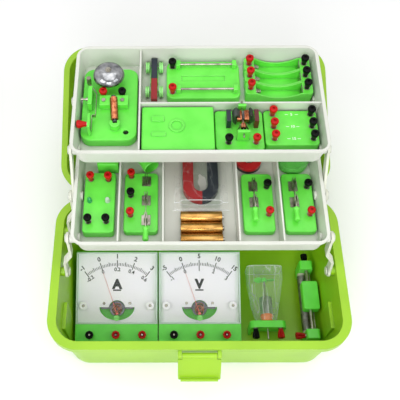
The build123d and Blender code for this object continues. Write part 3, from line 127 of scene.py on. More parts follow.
def metal(name, look):
    # Bare or plated metal: drawn or rolled lines along one axis, faint tarnish between them, and
    # on the gong's chrome dark and bright patches that are painted reflections.
    # Real lines lie about 0.05 mm apart; they are drawn wider apart, so that they show.
    made, tree, place = startMaterial(name)
    stretch = addNode(tree, "Mapping", {"Scale": look.get("stretch", (1, 1, 1))},
                      {"Vector": place})
    lines = addNode(tree, "TexNoise", {"Scale": perMetre(look["lineMm"]), "Detail": 4.0},
                    {"Vector": stretch.outputs["Vector"]})
    # patches of the darker tone: tarnish, and on the chrome painted reflections
    dull = addNode(tree, "TexNoise", {"Scale": perMetre(look.get("tarnishAndReflectionMm", 9)), "Detail": 3.0},
                   {"Vector": place})
    tone = addNode(tree, "ValToRGB", {"stops": [(0.35, look["shade"]), (0.65, look["colour"])]},
                   {"Fac": dull.outputs["Fac"]})
    soft = addNode(tree, "Bevel", {"Radius": 0.25 * mm, "samples": 4})
    bump = addNode(tree, "Bump", {"Strength": look.get("grain", 0.25), "Distance": 0.08 * mm},
                   {"Height": lines.outputs["Fac"], "Normal": soft.outputs["Normal"]})
    sheen = addNode(tree, "MapRange", {"To Min": max(look["rough"] - 0.06, 0.02),
                                       "To Max": look["rough"] + 0.1},
                    {"Value": lines.outputs["Fac"]})
    skin = addNode(tree, "BsdfPrincipled", {"Metallic": 1.0},
                   {"Base Color": tone.outputs["Color"], "Roughness": sheen.outputs["Result"],
                    "Normal": bump.outputs["Normal"]})
    addNode(tree, "OutputMaterial", links={"Surface": skin.outputs["BSDF"]})
    return made


def magnetPaint(name, look):
    # Stoved enamel over a magnet: one colour for each pole, split across one axis, with small
    # chips and an orange-peel skin.
    made, tree, place = startMaterial(name)
    parts = addNode(tree, "SeparateXYZ", links={"Vector": place})
    side = addNode(tree, "MapRange", {"From Min": (look["splitMm"] - 0.4) * mm,
                                      "From Max": (look["splitMm"] + 0.4) * mm},
                   {"Value": parts.outputs[look["axis"]]})
    pole = addNode(tree, "MixRGB", {"Color1": hexColour(look["low"]),
                                    "Color2": hexColour(look["high"])},
                   {"Fac": side.outputs["Result"]})
    chips = addNode(tree, "TexNoise", {"Scale": perMetre(2.2), "Detail": 6.0, "Roughness": 0.7},
                    {"Vector": place})
    chip = addNode(tree, "MapRange", {"From Min": 0.7, "From Max": 0.76, "To Max": 0.6},
                   {"Value": chips.outputs["Fac"]})
    paint = addNode(tree, "MixRGB", {"Color2": hexColour("#5a5654")},
                    {"Fac": chip.outputs["Result"], "Color1": pole.outputs["Color"]})
    soft = addNode(tree, "Bevel", {"Radius": 0.6 * mm, "samples": 4})
    peel = addNode(tree, "TexNoise", {"Scale": perMetre(0.9), "Detail": 2.0}, {"Vector": place})
    bump = addNode(tree, "Bump", {"Strength": 0.25, "Distance": 0.1 * mm},
                   {"Height": peel.outputs["Fac"], "Normal": soft.outputs["Normal"]})
    skin = addNode(tree, "BsdfPrincipled", {"Roughness": 0.3, "IOR": 1.45,
                                            "Coat Weight": 0.15, "Coat Roughness": 0.1},
                   {"Base Color": paint.outputs["Color"], "Normal": bump.outputs["Normal"]})
    addNode(tree, "OutputMaterial", links={"Surface": skin.outputs["BSDF"]})
    return made


def clearSheet(name, look):
    # Clear plastic: almost unseen face on; the white sheet turns more opaque at glancing angles,
    # partly as a painted reflection, and along creases or fine scratches as painted highlights;
    # the creases' bumps also catch the lamps.
    made, tree, place = startMaterial(name)
    rim = addNode(tree, "LayerWeight", {"Blend": look["blend"]})
    drawn = addNode(tree, "Mapping", {"Scale": look.get("stretch", (1, 1, 1))}, {"Vector": place})
    crease = addNode(tree, "TexNoise", {"Scale": perMetre(look["creaseMm"]), "Detail": 2.0,
                                        "Roughness": 0.5, "Distortion": 0.4},
                     {"Vector": drawn.outputs["Vector"]})
    # a crease runs where the noise crosses its middle
    level = addNode(tree, "Math", {"operation": "SUBTRACT"}, {0: crease.outputs["Fac"]})
    level.inputs[1].default_value = 0.5
    ridge = addNode(tree, "Math", {"operation": "ABSOLUTE"}, {0: level.outputs["Value"]})
    # painted highlights: the sheet is made more opaque along each crease
    creaseHighlight = addNode(tree, "MapRange", {"From Min": 0.002, "From Max": 0.02,
                                      "To Min": look.get("creaseHighlightAlpha", 0.0), "To Max": 0.0},
                   {"Value": ridge.outputs["Value"]})
    # painted reflection in part: the white sheet is made more opaque at glancing angles
    edge = addNode(tree, "MapRange", {"To Min": look["alpha"], "To Max": look["edgeAlpha"]},
                   {"Value": rim.outputs["Facing"]})
    cover = addNode(tree, "Math", {"operation": "ADD", "use_clamp": True},
                    {0: edge.outputs["Result"], 1: creaseHighlight.outputs["Result"]})
    bump = addNode(tree, "Bump", {"Strength": look["bump"], "Distance": 0.6 * mm},
                   {"Height": crease.outputs["Fac"]})
    skin = addNode(tree, "BsdfPrincipled", {"Base Color": hexColour(look["colour"]),
                                            "Roughness": look["rough"], "IOR": 1.49,
                                            "Specular IOR Level": look.get("shine", 0.9)},
                   {"Alpha": cover.outputs["Value"], "Normal": bump.outputs["Normal"]})
    addNode(tree, "OutputMaterial", links={"Surface": skin.outputs["BSDF"]})
    return made


def printedCard(name, look):
    # Coated card or printed plate: matt with a faint fibre and a little yellowing in patches.
    # Fibres of about 0.1 mm are drawn coarser than that, so that they show.
    made, tree, place = startMaterial(name)
    fibre = addNode(tree, "TexNoise", {"Scale": perMetre(0.7), "Detail": 6.0}, {"Vector": place})
    cloud = addNode(tree, "TexNoise", {"Scale": perMetre(40), "Detail": 2.0}, {"Vector": place})
    tone = addNode(tree, "ValToRGB", {"stops": [(0.3, look["shade"]), (0.7, look["colour"])]},
                   {"Fac": cloud.outputs["Fac"]})
    bump = addNode(tree, "Bump", {"Strength": 0.15, "Distance": 0.04 * mm},
                   {"Height": fibre.outputs["Fac"]})
    skin = addNode(tree, "BsdfPrincipled", {"Roughness": look["rough"], "IOR": 1.5},
                   {"Base Color": tone.outputs["Color"], "Normal": bump.outputs["Normal"]})
    addNode(tree, "OutputMaterial", links={"Surface": skin.outputs["BSDF"]})
    return made


plastics = {
    # polypropylene of the case: bright lime, soft gloss
    "limePolypropylene": {"colour": "#99c91b", "shade": "#90c016", "edgeWearHighlightColour": "#b4dc4c", "edgeWearHighlight": 0.5,
                          "flowMm": 60, "edgeMm": 1.2, "grainMm": 0.9, "grain": 0.12,
                          "rough": 0.36},
    # the lid is the same plastic with a coarser, duller texture
    "limeLidPolypropylene": {"colour": "#98c81a", "shade": "#8dbc14", "edgeWearHighlightColour": "#b0da48",
                             "edgeWearHighlight": 0.5, "flowMm": 80, "edgeMm": 1.2, "grainMm": 1.1,
                             "grain": 0.2, "rough": 0.45},
    # high-impact polystyrene trays: warm white, satin
    "whitePolystyrene": {"colour": "#dcded5", "shade": "#d5d7cd", "edgeWearHighlightColour": "#e6e8e0", "edgeWearHighlight": 0.5,
                         "flowMm": 50, "edgeMm": 0.7, "grainMm": 0.8, "grain": 0.1,
                         "rough": 0.4},
    # swing arms of a softer, slightly yellower plastic
    "offWhiteNylon": {"colour": "#e2e4d5", "shade": "#d9dbc9", "edgeWearHighlightColour": "#ecede2", "edgeWearHighlight": 0.4,
                      "flowMm": 30, "edgeMm": 0.8, "grainMm": 0.8, "grain": 0.15, "rough": 0.42},
    # ABS of the modules: clear spring green with a polished mould's gloss
    # its strongly paler edges are partly wear and partly a painted highlight
    "springGreenAbs": {"colour": "#6de84c", "shade": "#60de40", "edgeWearHighlightColour": "#a4f78a", "edgeWearHighlight": 0.75,
                       "flowMm": 22, "edgeMm": 0.9, "grainMm": 0.6, "grain": 0.08,
                       "rough": 0.3},
    # ABS of the wheels and knobs: paler, from another batch
    "paleGreenAbs": {"colour": "#9bef86", "shade": "#8be676", "edgeWearHighlightColour": "#c2f8b4", "edgeWearHighlight": 0.5,
                     "flowMm": 12, "edgeMm": 0.5, "grainMm": 0.6, "grain": 0.08, "rough": 0.32},
    # phenolic caps of the terminals: deep colour, restrained gloss
    "redCapPlastic": {"colour": "#c2120e", "shade": "#a80d0a", "edgeWearHighlightColour": "#d5302a", "edgeWearHighlight": 0.5,
                      "flowMm": 8, "edgeMm": 0.35, "grainMm": 0.5, "grain": 0.12, "rough": 0.32,
                      "ior": 1.4, "shine": 0.3},
    "blackCapPlastic": {"colour": "#0c0e0d", "shade": "#080908", "edgeWearHighlightColour": "#1d201e", "edgeWearHighlight": 0.5,
                        "flowMm": 8, "edgeMm": 0.35, "grainMm": 0.5, "grain": 0.12,
                        "rough": 0.36, "ior": 1.36, "shine": 0.15},
    # nylon end of the small motor: opaque orange
    "orangeEndPlastic": {"colour": "#ee7d2c", "shade": "#df6c1e", "edgeWearHighlightColour": "#f7a566", "edgeWearHighlight": 0.4,
                         "flowMm": 8, "edgeMm": 0.4, "grainMm": 0.5, "grain": 0.1, "rough": 0.35},
}
metals = {
    # nickel-plated brass strip: bright, faintly yellow, rolled lines
    "nickelPlate": {"colour": "#b4b0a5", "shade": "#827e74", "lineMm": 0.3, "rough": 0.26,
                    "stretch": (1, 1, 0.2), "grain": 0.2},
    # polished chrome of the gong: its dark and bright patches are painted reflections
    "chromePlate": {"colour": "#b2b3b5", "shade": "#5a5c5f", "lineMm": 0.8, "rough": 0.09,
                    "tarnishAndReflectionMm": 12, "grain": 0.05},
    # bare spring steel: straw grey, fine drawn lines
    "springSteel": {"colour": "#b9b4a4", "shade": "#8f8a7c", "lineMm": 0.25, "rough": 0.32},
    # drawn steel can of the small motor
    "drawnSteel": {"colour": "#c3c5c6", "shade": "#a3a6a8", "lineMm": 0.3,
                   "stretch": (1, 0.08, 1), "rough": 0.28},
    # copper wire under clear enamel: warm, slightly red in the grooves
    "enamelledCopper": {"colour": "#d69069", "shade": "#a1522f", "lineMm": 0.4, "rough": 0.26,
                        "tarnishAndReflectionMm": 3},
    # resistance wire: grey with darker, oxidised stretches
    "nichromeWire": {"colour": "#a9aba9", "shade": "#6f716f", "lineMm": 0.3, "rough": 0.3,
                     "tarnishAndReflectionMm": 5},
    # sheet steel of cores and stampings: dark and dull
    "sheetSteelDark": {"colour": "#6d6f70", "shade": "#4c4e50", "lineMm": 0.4, "rough": 0.4},
    # lacquered jacket of the cells: brown gold
    "goldLacquer": {"colour": "#c59a5a", "shade": "#a5783b", "lineMm": 0.5,
                    "stretch": (0.1, 1, 1), "rough": 0.25, "tarnishAndReflectionMm": 20, "grain": 0.1},
    # red lacquer on the needles' thin aluminium
    "needleRed": {"colour": "#d97f72", "shade": "#c96457", "lineMm": 0.4, "rough": 0.5},
}
magnets = {
    # stoved enamel, red at one pole and blue-black at the other, split at a place on one axis
    "horseshoeEnamel": {"axis": "X", "splitMm": 4.5, "low": "#9a1418", "high": "#101a26"},
    "barEnamel": {"axis": "Y", "splitMm": upperTray.y + 38.2, "low": "#8e1014",
                  "high": "#141e2c"},
    "fieldEnamel": {"axis": "X", "splitMm": 49.0, "low": "#161f2c", "high": "#5c1619"},
    "ringEnamel": {"axis": "Z", "splitMm": middleTray.z + 5.0, "low": "#2a2626",
                   "high": "#c21c26"},
}
sheets = {
    # acrylic window of a meter: flat, polished
    "windowAcrylic": {"colour": "#f4fafa", "alpha": 0.02, "edgeAlpha": 0.3, "creaseMm": 30,
                      "blend": 0.25, "bump": 0.01, "rough": 0.05, "shine": 0.35},
    # the same acrylic along its moulded edge, where it looks milky
    "coverEdgeAcrylic": {"colour": "#e4ecf0", "alpha": 0.72, "edgeAlpha": 0.9, "creaseMm": 30,
                         "blend": 0.3, "bump": 0.02, "rough": 0.15},
    # thin polyethylene bag with hard creases
    "creasedFilm": {"colour": "#f6fafa", "alpha": 0.08, "edgeAlpha": 0.5, "creaseHighlightAlpha": 0.3,
                    "creaseMm": 26, "stretch": (1.5, 0.35, 1.2), "blend": 0.34, "bump": 0.8,
                    "rough": 0.1},
    # the flatter pouch of the magnet lies close on it and hardly shows
    "pouchFilm": {"colour": "#f4f8f8", "alpha": 0.0, "edgeAlpha": 0.34, "creaseHighlightAlpha": 0.1,
                  "creaseMm": 24, "stretch": (1.0, 0.8, 1.0), "blend": 0.2, "bump": 0.35,
                  "rough": 0.08},
    # doubled, heat-sealed film along a bag's edge, drawn milky white, partly as a painted glint
    "filmHem": {"colour": "#f8fcfc", "alpha": 0.6, "edgeAlpha": 0.85, "creaseHighlightAlpha": 0.2,
                "creaseMm": 9, "blend": 0.4, "bump": 0.3, "rough": 0.12},
    # tinted polystyrene lid of the round case
    "greenTintLid": {"colour": "#7ce56c", "alpha": 0.3, "edgeAlpha": 0.7, "creaseHighlightAlpha": 0.05,
                     "creaseMm": 9, "blend": 0.4, "bump": 0.1, "rough": 0.12},
    # cast epoxy of the lamps: one dyed, one water clear
    "lampEpoxyGreen": {"colour": "#2fae62", "alpha": 0.72, "edgeAlpha": 0.95, "creaseHighlightAlpha": 0.05,
                       "creaseMm": 3, "blend": 0.4, "bump": 0.05, "rough": 0.12},
    "lampEpoxyClear": {"colour": "#e8f4ea", "alpha": 0.5, "edgeAlpha": 0.9, "creaseHighlightAlpha": 0.1,
                       "creaseMm": 2, "blend": 0.4, "bump": 0.1, "rough": 0.1},
}
cards = {
    # coated card, ink from a screen, pale pad print, and fired clay of the rheostat's tube
    "dialCard": {"colour": "#fcf6ff", "shade": "#f8f2ff", "rough": 0.55},
    "blackInk": {"colour": "#101315", "shade": "#0b0d0e", "rough": 0.6},
    "paleInk": {"colour": "#e9f3e4", "shade": "#dcebd6", "rough": 0.6},
    "unglazedCeramic": {"colour": "#cfc8b8", "shade": "#bdb5a4", "rough": 0.75},
}
finishes = {}
for make, looks in ((mouldedPlastic, plastics), (metal, metals), (magnetPaint, magnets),
                    (clearSheet, sheets), (printedCard, cards)):
    finishes.update({name: make(name, look) for name, look in looks.items()})
print(len(finishes), "finishes made")


# finishes of the CAD parts that stay as they are

nodeFinish = {
    "limePolypropylene": ["case_base", "latch"],
    "limeLidPolypropylene": ["lid", "carry_handle"],
    "whitePolystyrene": ["mid_tray", "upper_tray"],
    "offWhiteNylon": ["case_pins", "lower_front_arms", "lower_rear_arms", "upper_front_arms",
                      "upper_rear_arms"],
    "springGreenAbs": ["meter_cases", "rheostat_frame", "rheostat_slider",
                       "switch_boards", "bell_base", "upper_boards", "battery_holders",
                       "trolley_frame", "motor_model"],
    "paleGreenAbs": ["front_wheels", "rear_wheels", "ammeter_zero_knob", "voltmeter_zero_knob"],
    "nickelPlate": ["base_studs", "switch_contacts", "upper_metal_parts", "rheostat_rods",
                    "double_throw_blade", "left_switch_blade", "right_switch_blade"],
    "springSteel": ["bell_clapper"],
    "sheetSteelDark": ["meter_movements"],
    "dialCard": ["meter_dials"],
    "windowAcrylic": ["meter_windows"],
    "unglazedCeramic": ["rheostat_tube"],
    "horseshoeEnamel": ["horseshoe_magnet"],
    "barEnamel": ["bar_magnet"],
    "fieldEnamel": ["field_magnets"],
    "ringEnamel": ["ring_magnets"],
}
for finishName, nodeNames in nodeFinish.items():
    for nodeName in nodeNames:
        cadMesh = nodes[nodeName].data
        cadMesh.materials.clear()
        cadMesh.materials.append(finishes[finishName])


# mesh helpers

def addObject(name, data):
    made = bpy.data.objects.new(name, data)
    bpy.context.scene.collection.objects.link(made)
    return made


def finishPiece(name, made, finish, body, place=None, replaces=(), sharp=35):
    bmesh.ops.recalc_face_normals(made, faces=made.faces)
    if place is not None:
        made.transform(place)
    mesh = bpy.data.meshes.new(name)
    made.to_mesh(mesh)
    made.free()
    mesh.materials.append(finishes[finish])
    mesh.shade_smooth()
    mesh.set_sharp_from_angle(angle=math.radians(sharp))
    piece = addObject(name, mesh)
    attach(piece, body)
    if replaces:
        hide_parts(*replaces)


def addParts(target, source, *places):
    # adds a copy of one bmesh to another at each place, or as it lies, and frees it
    mesh = bpy.data.meshes.new("part")
    source.to_mesh(mesh)
    source.free()
    for place in places or (Matrix.Identity(4),):
        copy = mesh.copy()
        copy.transform(place)
        target.from_mesh(copy)
        bpy.data.meshes.remove(copy)
    bpy.data.meshes.remove(mesh)


def turnAbout(axis, degrees):
    return Matrix.Rotation(math.radians(degrees), 4, axis)


def frameOf(origin, outwards):
    # a matrix whose Z runs along a direction
    turn = Vector(outwards).to_track_quat("Z", "Y").to_matrix().to_4x4()
    return Matrix.Translation(origin) @ turn


def at(x, y, z, base=Vector((0, 0, 0))):
    # a place in millimetres, from the case's middle or from a tray's floor
    return Matrix.Translation((Vector((x, y, z)) + base) * mm)


def squared(value, power):
    # a sine or cosine drawn towards the corners, which makes a rounded box of a circle
    return math.copysign(abs(value) ** power, value)


def bridge(made, rings, closed=True, loop=False):
    # faces between neighbouring rows of corners, and from the last row to the first in a loop
    pairs = list(zip(rings, rings[1:]))
    if loop:
        pairs.append((rings[-1], rings[0]))
    for low, high in pairs:
        for step in range(len(low) if closed else len(low) - 1):
            ahead = (step + 1) % len(low)
            made.faces.new([low[step], low[ahead], high[ahead], high[step]])


def turned(profile, segments=40, ribs=None):
    # a lathe shape about Z from (radius, height) in mm; ribs ripple the radius between two heights
    made = bmesh.new()
    rings = []
    for radius, height in profile:
        if radius < 1e-4:
            rings.append([made.verts.new((0, 0, height * mm))])
            continue
        ring = []
        for step in range(segments):
            angle = 2 * math.pi * step / segments
            wide = radius
            if ribs and ribs["low"] <= height <= ribs["high"]:
                wide -= ribs["depth"] * (0.5 - 0.5 * math.cos(ribs["count"] * angle))
            ring.append(made.verts.new((wide * mm * math.cos(angle), wide * mm * math.sin(angle),
                                        height * mm)))
        rings.append(ring)
    if profile[0] == profile[-1]:
        bmesh.ops.delete(made, geom=rings[-1], context="VERTS")
        rings[-1] = rings[0]
    for low, high in zip(rings, rings[1:]):
        for step in range(segments):
            ahead = (step + 1) % segments
            corners = [low[step % len(low)], low[ahead % len(low)], high[ahead % len(high)],
                       high[step % len(high)]]
            # at the axis two corners fall together
            corners = list(dict.fromkeys(corners))
            if len(corners) > 2:
                made.faces.new(corners)
    return made


def block(x0, x1, y0, y1, z0, z1, soft=0.0):
    # a moulded bar from its limits in mm, with rounded edges
    made = bmesh.new()
    bmesh.ops.create_cube(made, size=1)
    made.transform(Matrix.Translation(Vector(((x0 + x1) / 2, (y0 + y1) / 2, (z0 + z1) / 2)) * mm)
                   @ Matrix.Diagonal((abs(x1 - x0) * mm, abs(y1 - y0) * mm, abs(z1 - z0) * mm, 1)))
    if soft:
        bmesh.ops.bevel(made, geom=made.edges[:], offset=soft * mm, segments=3, profile=0.5,
                        affect="EDGES")
    return made


def slab(outline, near, far):
    # a flat plate from its outline in x and z, between two depths in mm
    made = bmesh.new()
    face = made.faces.new([made.verts.new(Vector((x, near, z)) * mm) for x, z in outline])
    grown = bmesh.ops.extrude_face_region(made, geom=[face])
    moved = [v for v in grown["geom"] if isinstance(v, bmesh.types.BMVert)]
    bmesh.ops.translate(made, verts=moved, vec=Vector((0, far - near, 0)) * mm)
    return made


def wire(points, radius, sides=8, closed=False):
    # a round wire of a radius in mm through points in metres; an open one is capped
    made = bmesh.new()
    count = len(points)
    rings = []
    across = None
    for k, point in enumerate(points):
        if closed:
            ahead = (points[(k + 1) % count] - points[k - 1]).normalized()
        else:
            ahead = (points[min(k + 1, count - 1)] - points[max(k - 1, 0)]).normalized()
        if across is None:
            across = ahead.orthogonal().normalized()
        across = (across - ahead * across.dot(ahead)).normalized()
        other = ahead.cross(across)
        ring = []
        for step in range(sides):
            angle = 2 * math.pi * step / sides
            ring.append(made.verts.new(point + (across * math.cos(angle)
                                                + other * math.sin(angle)) * radius * mm))
        rings.append(ring)
    bridge(made, rings, loop=closed)
    if not closed:
        made.faces.new(rings[0])
        made.faces.new(rings[-1])
    return made


def helix(radius, pitch, turns, perTurn):
    # points of a coil wound along X, centred on the origin, in metres
    return [Vector(((k / perTurn - turns / 2) * pitch, radius * math.cos(2 * math.pi * k / perTurn),
                    radius * math.sin(2 * math.pi * k / perTurn))) * mm
            for k in range(int(turns * perTurn) + 1)]


def solidsOf(name):
    # the separate solids of a CAD node, each as an array of its corners
    made = bmesh.new()
    made.from_mesh(nodes[name].data)
    bmesh.ops.remove_doubles(made, verts=made.verts, dist=1e-6)
    seen = set()
    found = []
    for start in made.verts:
        if start in seen:
            continue
        seen.add(start)
        waiting = [start]
        corners = []
        while waiting:
            corner = waiting.pop()
            corners.append(corner.co[:])
            for side in corner.link_edges:
                far = side.other_vert(corner)
                if far not in seen:
                    seen.add(far)
                    waiting.append(far)
        found.append(np.array(corners))
    made.free()
    return found


# terminal caps: the case's are fluted with a socket in the top, the trays' smooth and flared

flutedCap = {"segments": 64, "ribs": {"count": 8, "depth": 1.3, "low": 2.0, "high": 11.2},
             "profile": [(0, 0), (2.9, 0), (2.95, 1.2), (3.3, 2.0), (3.95, 4.6), (4.4, 7.0),
                         (4.6, 9.4), (4.6, 10.8), (4.3, 11.6), (3.6, 12.0), (2.4, 12.0),
                         (2.1, 11.6), (2.0, 10.6), (1.95, 7.4), (1.6, 6.9), (0, 6.9)]}
smoothCap = {"segments": 48, "ribs": None,
             "profile": [(0, 0), (2.7, 0), (2.75, 1.0), (3.0, 2.2), (3.7, 5.4), (4.45, 7.9),
                         (4.75, 9.4), (4.75, 10.4), (4.45, 11.3), (3.8, 11.85), (2.9, 12.0),
                         (1.9, 12.0), (1.6, 11.6), (1.5, 10.4), (0, 10.3)]}
# the meters' caps are the widest; the meters end at this x in the case
meterCaps = {"widen": 1.2, "endX": 62.0}


def onMeter(place):
    return place.translation.x < meterCaps["endX"] * mm


def capPlaces(nodeName):
    # where each cap of a CAD node stands: its axis is the solid's long direction, foot first
    endShare = 0.12
    places = []
    for corners in solidsOf(nodeName):
        middle = (corners.min(0) + corners.max(0)) / 2
        spread, axes = np.linalg.eigh(np.cov((corners - middle).T))
        axis = axes[:, spread.argmax()]
        along = (corners - middle) @ axis
        around = np.linalg.norm((corners - middle) - np.outer(along, axis), axis=1)
        end = endShare * (along.max() - along.min())
        low = around[along < along.min() + end].max()
        high = around[along > along.max() - end].max()
        if low > high:
            axis, along = -axis, -along
        places.append(frameOf(Vector(middle) + Vector(axis) * float(along.min()), axis))
    return places


def makeCaps(name, nodeName, finish, body):
    made = bmesh.new()
    shape = flutedCap if body == "case" else smoothCap
    places = capPlaces(nodeName)
    widths = [meterCaps["widen"] if body == "case" and onMeter(place) else 1 for place in places]
    addParts(made, turned(shape["profile"], shape["segments"], shape["ribs"]),
             *[place @ Matrix.Diagonal((wide, wide, 1, 1)) for place, wide in zip(places, widths)])
    finishPiece(name, made, finish, body, replaces=[nodeName], sharp=50)
    return places


capPlacesBase = []
for label, nodePart, body in (("base", "base", "case"), ("middle", "mid", "mid_tray"),
                              ("upper", "upper", "upper_tray")):
    for colour in ("red", "black"):
        places = makeCaps(label + colour.title() + "Terminals", nodePart + "_" + colour + "_caps",
                          colour + "CapPlastic", body)
        if body == "case":
            capPlacesBase += places

# bright stud ends in the meters' six caps
studEnds = bmesh.new()
addParts(studEnds, turned([(0, 6.9), (1.5, 6.9), (1.5, 11.4), (1.1, 11.9), (0, 12.0)], 20),
         *filter(onMeter, capPlacesBase))
finishPiece("meterStudEnds", studEnds, "nickelPlate", "case", sharp=40)
print("terminals made")


# meters: printed scales, screws and the parts seen through the round opening

meterShape = {"creaseY": -41.0, "creaseZ": 24.549, "slope": 20.0, "dialDrop": 4.95,
              "pivotV": 13.5}
# ticks are (width, foot, length) in mm, numbers and letter (height, distance, boldness)
scaleShape = {"radius": 62.6, "spread": 38.0, "steps": 40, "majorTick": (1.15, -2.2, 9.6),
              "middleTick": (1.0, 0, 5.1), "minorTick": (0.8, 0, 3.7),
              "outer": (5.7, 75.0, 0.24), "inner": (4.712, 57.6, 0.2), "letter": (11.6, 38.0, 1.0),
              "underline": {"half": 5.4, "thick": 1.8, "v": 29.7}}
meters = {
    "ammeter": {"x": -103.5, "letter": "A", "outer": ["-1", "0", "1", "2", "3"],
                "inner": ["-0.2", "0", "0.2", "0.4", "0.6"]},
    "voltmeter": {"x": 4.9, "letter": "V", "outer": ["-5", "0", "5", "10", "15"],
                  "inner": ["-1", "0", "1", "2", "3"]},
}


def faceFrame(x):
    # u across the face, v up the slope, w out of it
    return at(x, meterShape["creaseY"], meterShape["creaseZ"]) @ turnAbout("X", meterShape["slope"])


def addLetters(made, text, place, size):
    # a printed word as a thin solid, at its distance up from a place
    height, distance, bold = size
    capitalShare = 0.7
    curve = bpy.data.curves.new("letters", "FONT")
    curve.body = text
    curve.size = height * mm / capitalShare
    curve.align_x = "CENTER"
    curve.align_y = "CENTER"
    curve.extrude = 0.03 * mm
    curve.offset = bold * mm
    curve.resolution_u = 3
    holder = addObject("letters", curve)
    bpy.context.view_layer.update()
    mesh = bpy.data.meshes.new_from_object(holder)
    bpy.data.objects.remove(holder)
    mesh.transform(place @ at(0, distance, 0))
    made.from_mesh(mesh)
    bpy.data.meshes.remove(mesh)
    bpy.data.curves.remove(curve)


def makeScale(who, facts):
    # ticks and two rows of numbers round the pivot, and the underlined letter
    made = bmesh.new()
    dial = faceFrame(facts["x"]) @ at(0, meterShape["pivotV"], -meterShape["dialDrop"])
    spread, steps = scaleShape["spread"], scaleShape["steps"]
    for step in range(steps + 1):
        kind = "majorTick" if step % 10 == 0 else "middleTick" if step % 5 == 0 else "minorTick"
        width, foot, length = scaleShape[kind]
        spoke = dial @ turnAbout("Z", spread - 2 * spread * step / steps)
        addParts(made, block(-width / 2, width / 2, 0, length, -0.02, 0.03),
                 spoke @ at(0, scaleShape["radius"] + foot, 0))
    for step in range(5):
        spoke = dial @ turnAbout("Z", spread - spread * step / 2)
        for row in ("outer", "inner"):
            addLetters(made, facts[row][step], spoke, scaleShape[row])
    addLetters(made, facts["letter"], dial, scaleShape["letter"])
    line = scaleShape["underline"]
    addParts(made, block(-line["half"], line["half"], 0, line["thick"], -0.02, 0.04),
             dial @ at(0, line["v"], 0))
    finishPiece(who + "Scale", made, "blackInk", "case", sharp=30)


screwPlaces = {"windowX": 43.6, "windowV": 24.0, "bridgeX": 17.0, "bridgeV": 27.0}
movementShape = {"v": 20.0, "springFrom": 1.2, "springGrow": 3.6, "springRounds": 5,
                 "springW": -4.9, "springWire": 0.22, "coilHalfWide": 5.4, "coilHalfTall": 6.6,
                 "coilW": -7.4, "coilStep": 0.55, "coilTurns": 4, "coilWire": 0.3}


def makeMeterDetails(who, facts):
    face = faceFrame(facts["x"])
    # window screws in pale moulded eyelets, and bridge screws at the ends of the smile
    windowSpots = [face @ at(side * screwPlaces["windowX"], screwPlaces["windowV"], -0.05)
                   for side in (-1, 1)]
    bridgeSpots = [face @ at(side * screwPlaces["bridgeX"], screwPlaces["bridgeV"],
                             -meterShape["dialDrop"]) for side in (-1, 1)]
    eyelets = bmesh.new()
    addParts(eyelets, turned([(2.0, 0), (5.4, 0), (5.2, 0.35), (4.4, 0.5), (2.4, 0.5),
                              (2.0, 0.3), (2.0, 0)], 32), *windowSpots)
    finishPiece(who + "WindowEyelets", eyelets, "dialCard", "case")
    screws = bmesh.new()
    addParts(screws, turned([(0, -0.2), (1.9, -0.2), (1.9, 0.5), (1.5, 0.9), (0, 1.1)], 24),
             *windowSpots, *bridgeSpots)
    finishPiece(who + "Screws", screws, "nickelPlate", "case")
    # hairspring, and the moving coil behind it
    shape = movementShape
    spring = []
    for k in range(30 * shape["springRounds"]):
        angle = 2 * math.pi * k / 30
        radius = shape["springFrom"] + shape["springGrow"] * k / (30 * shape["springRounds"])
        spring.append(face @ (Vector((radius * math.cos(angle),
                                      shape["v"] + radius * math.sin(angle),
                                      shape["springW"])) * mm))
    finishPiece(who + "Hairspring", wire(spring, shape["springWire"], 6), "enamelledCopper",
                "case")
    coil = bmesh.new()
    for lift in range(shape["coilTurns"]):
        loop = []
        for k in range(28):
            angle = 2 * math.pi * k / 28
            loop.append(face @ (Vector((
                shape["coilHalfWide"] * squared(math.cos(angle), 0.6),
                shape["v"] + shape["coilHalfTall"] * squared(math.sin(angle), 0.6),
                shape["coilW"] + shape["coilStep"] * lift)) * mm))
        addParts(coil, wire(loop, shape["coilWire"], 6, closed=True))
    finishPiece(who + "MovingCoil", coil, "enamelledCopper", "case")


coverRim = {"half": 53.2, "low": 0.3, "high": 93.6, "wide": 2.0}


def makeCoverRim(who, facts):
    # the clear cover's moulded edge, pale where one looks along it
    rim = bmesh.new()
    face = faceFrame(facts["x"])
    half, low, high, wide = coverRim.values()
    for x0, x1, v0, v1 in ((-half, half, low, low + wide), (-half, half, high - wide, high),
                           (-half, -half + wide, low + wide, high - wide),
                           (half - wide, half, low + wide, high - wide)):
        addParts(rim, block(x0, x1, v0, v1, -0.1, 0.5, 0.15), face)
    finishPiece(who + "CoverRim", rim, "coverEdgeAcrylic", "case")


# the blade's half width at each distance from the pivot, tail first
needleShape = {"w": -3.8, "zeroAngle": 19.0, "halfThick": 0.22,
               "rows": ((-7.0, 0.7), (-2.0, 0.5), (0.0, 0.45), (22.0, 0.22), (57.0, 0.13))}


def makeNeedle(who, facts):
    # a thin blade that narrows to its tip, with a balance arm and a domed hub
    pivot = faceFrame(facts["x"]) @ at(0, meterShape["pivotV"], needleShape["w"]) \
        @ turnAbout("Z", needleShape["zeroAngle"])
    needle = bmesh.new()
    thick = needleShape["halfThick"]
    rows = [[needle.verts.new(Vector(corner) * mm) for corner in (
        (-half, v, -thick), (half, v, -thick), (half, v, thick), (-half, v, thick))]
        for v, half in needleShape["rows"]]
    bridge(needle, rows)
    needle.faces.new(rows[0])
    needle.faces.new(rows[-1])
    addParts(needle, turned([(0, -4.4), (0.6, -4.4), (0.6, -0.9), (2.1, -0.9), (2.1, 0.6),
                             (1.5, 1.0), (0, 1.1)], 24))
    finishPiece(who + "NeedleBlade", needle, "needleRed", who + "_needle", pivot,
                replaces=[who + "_needle"])


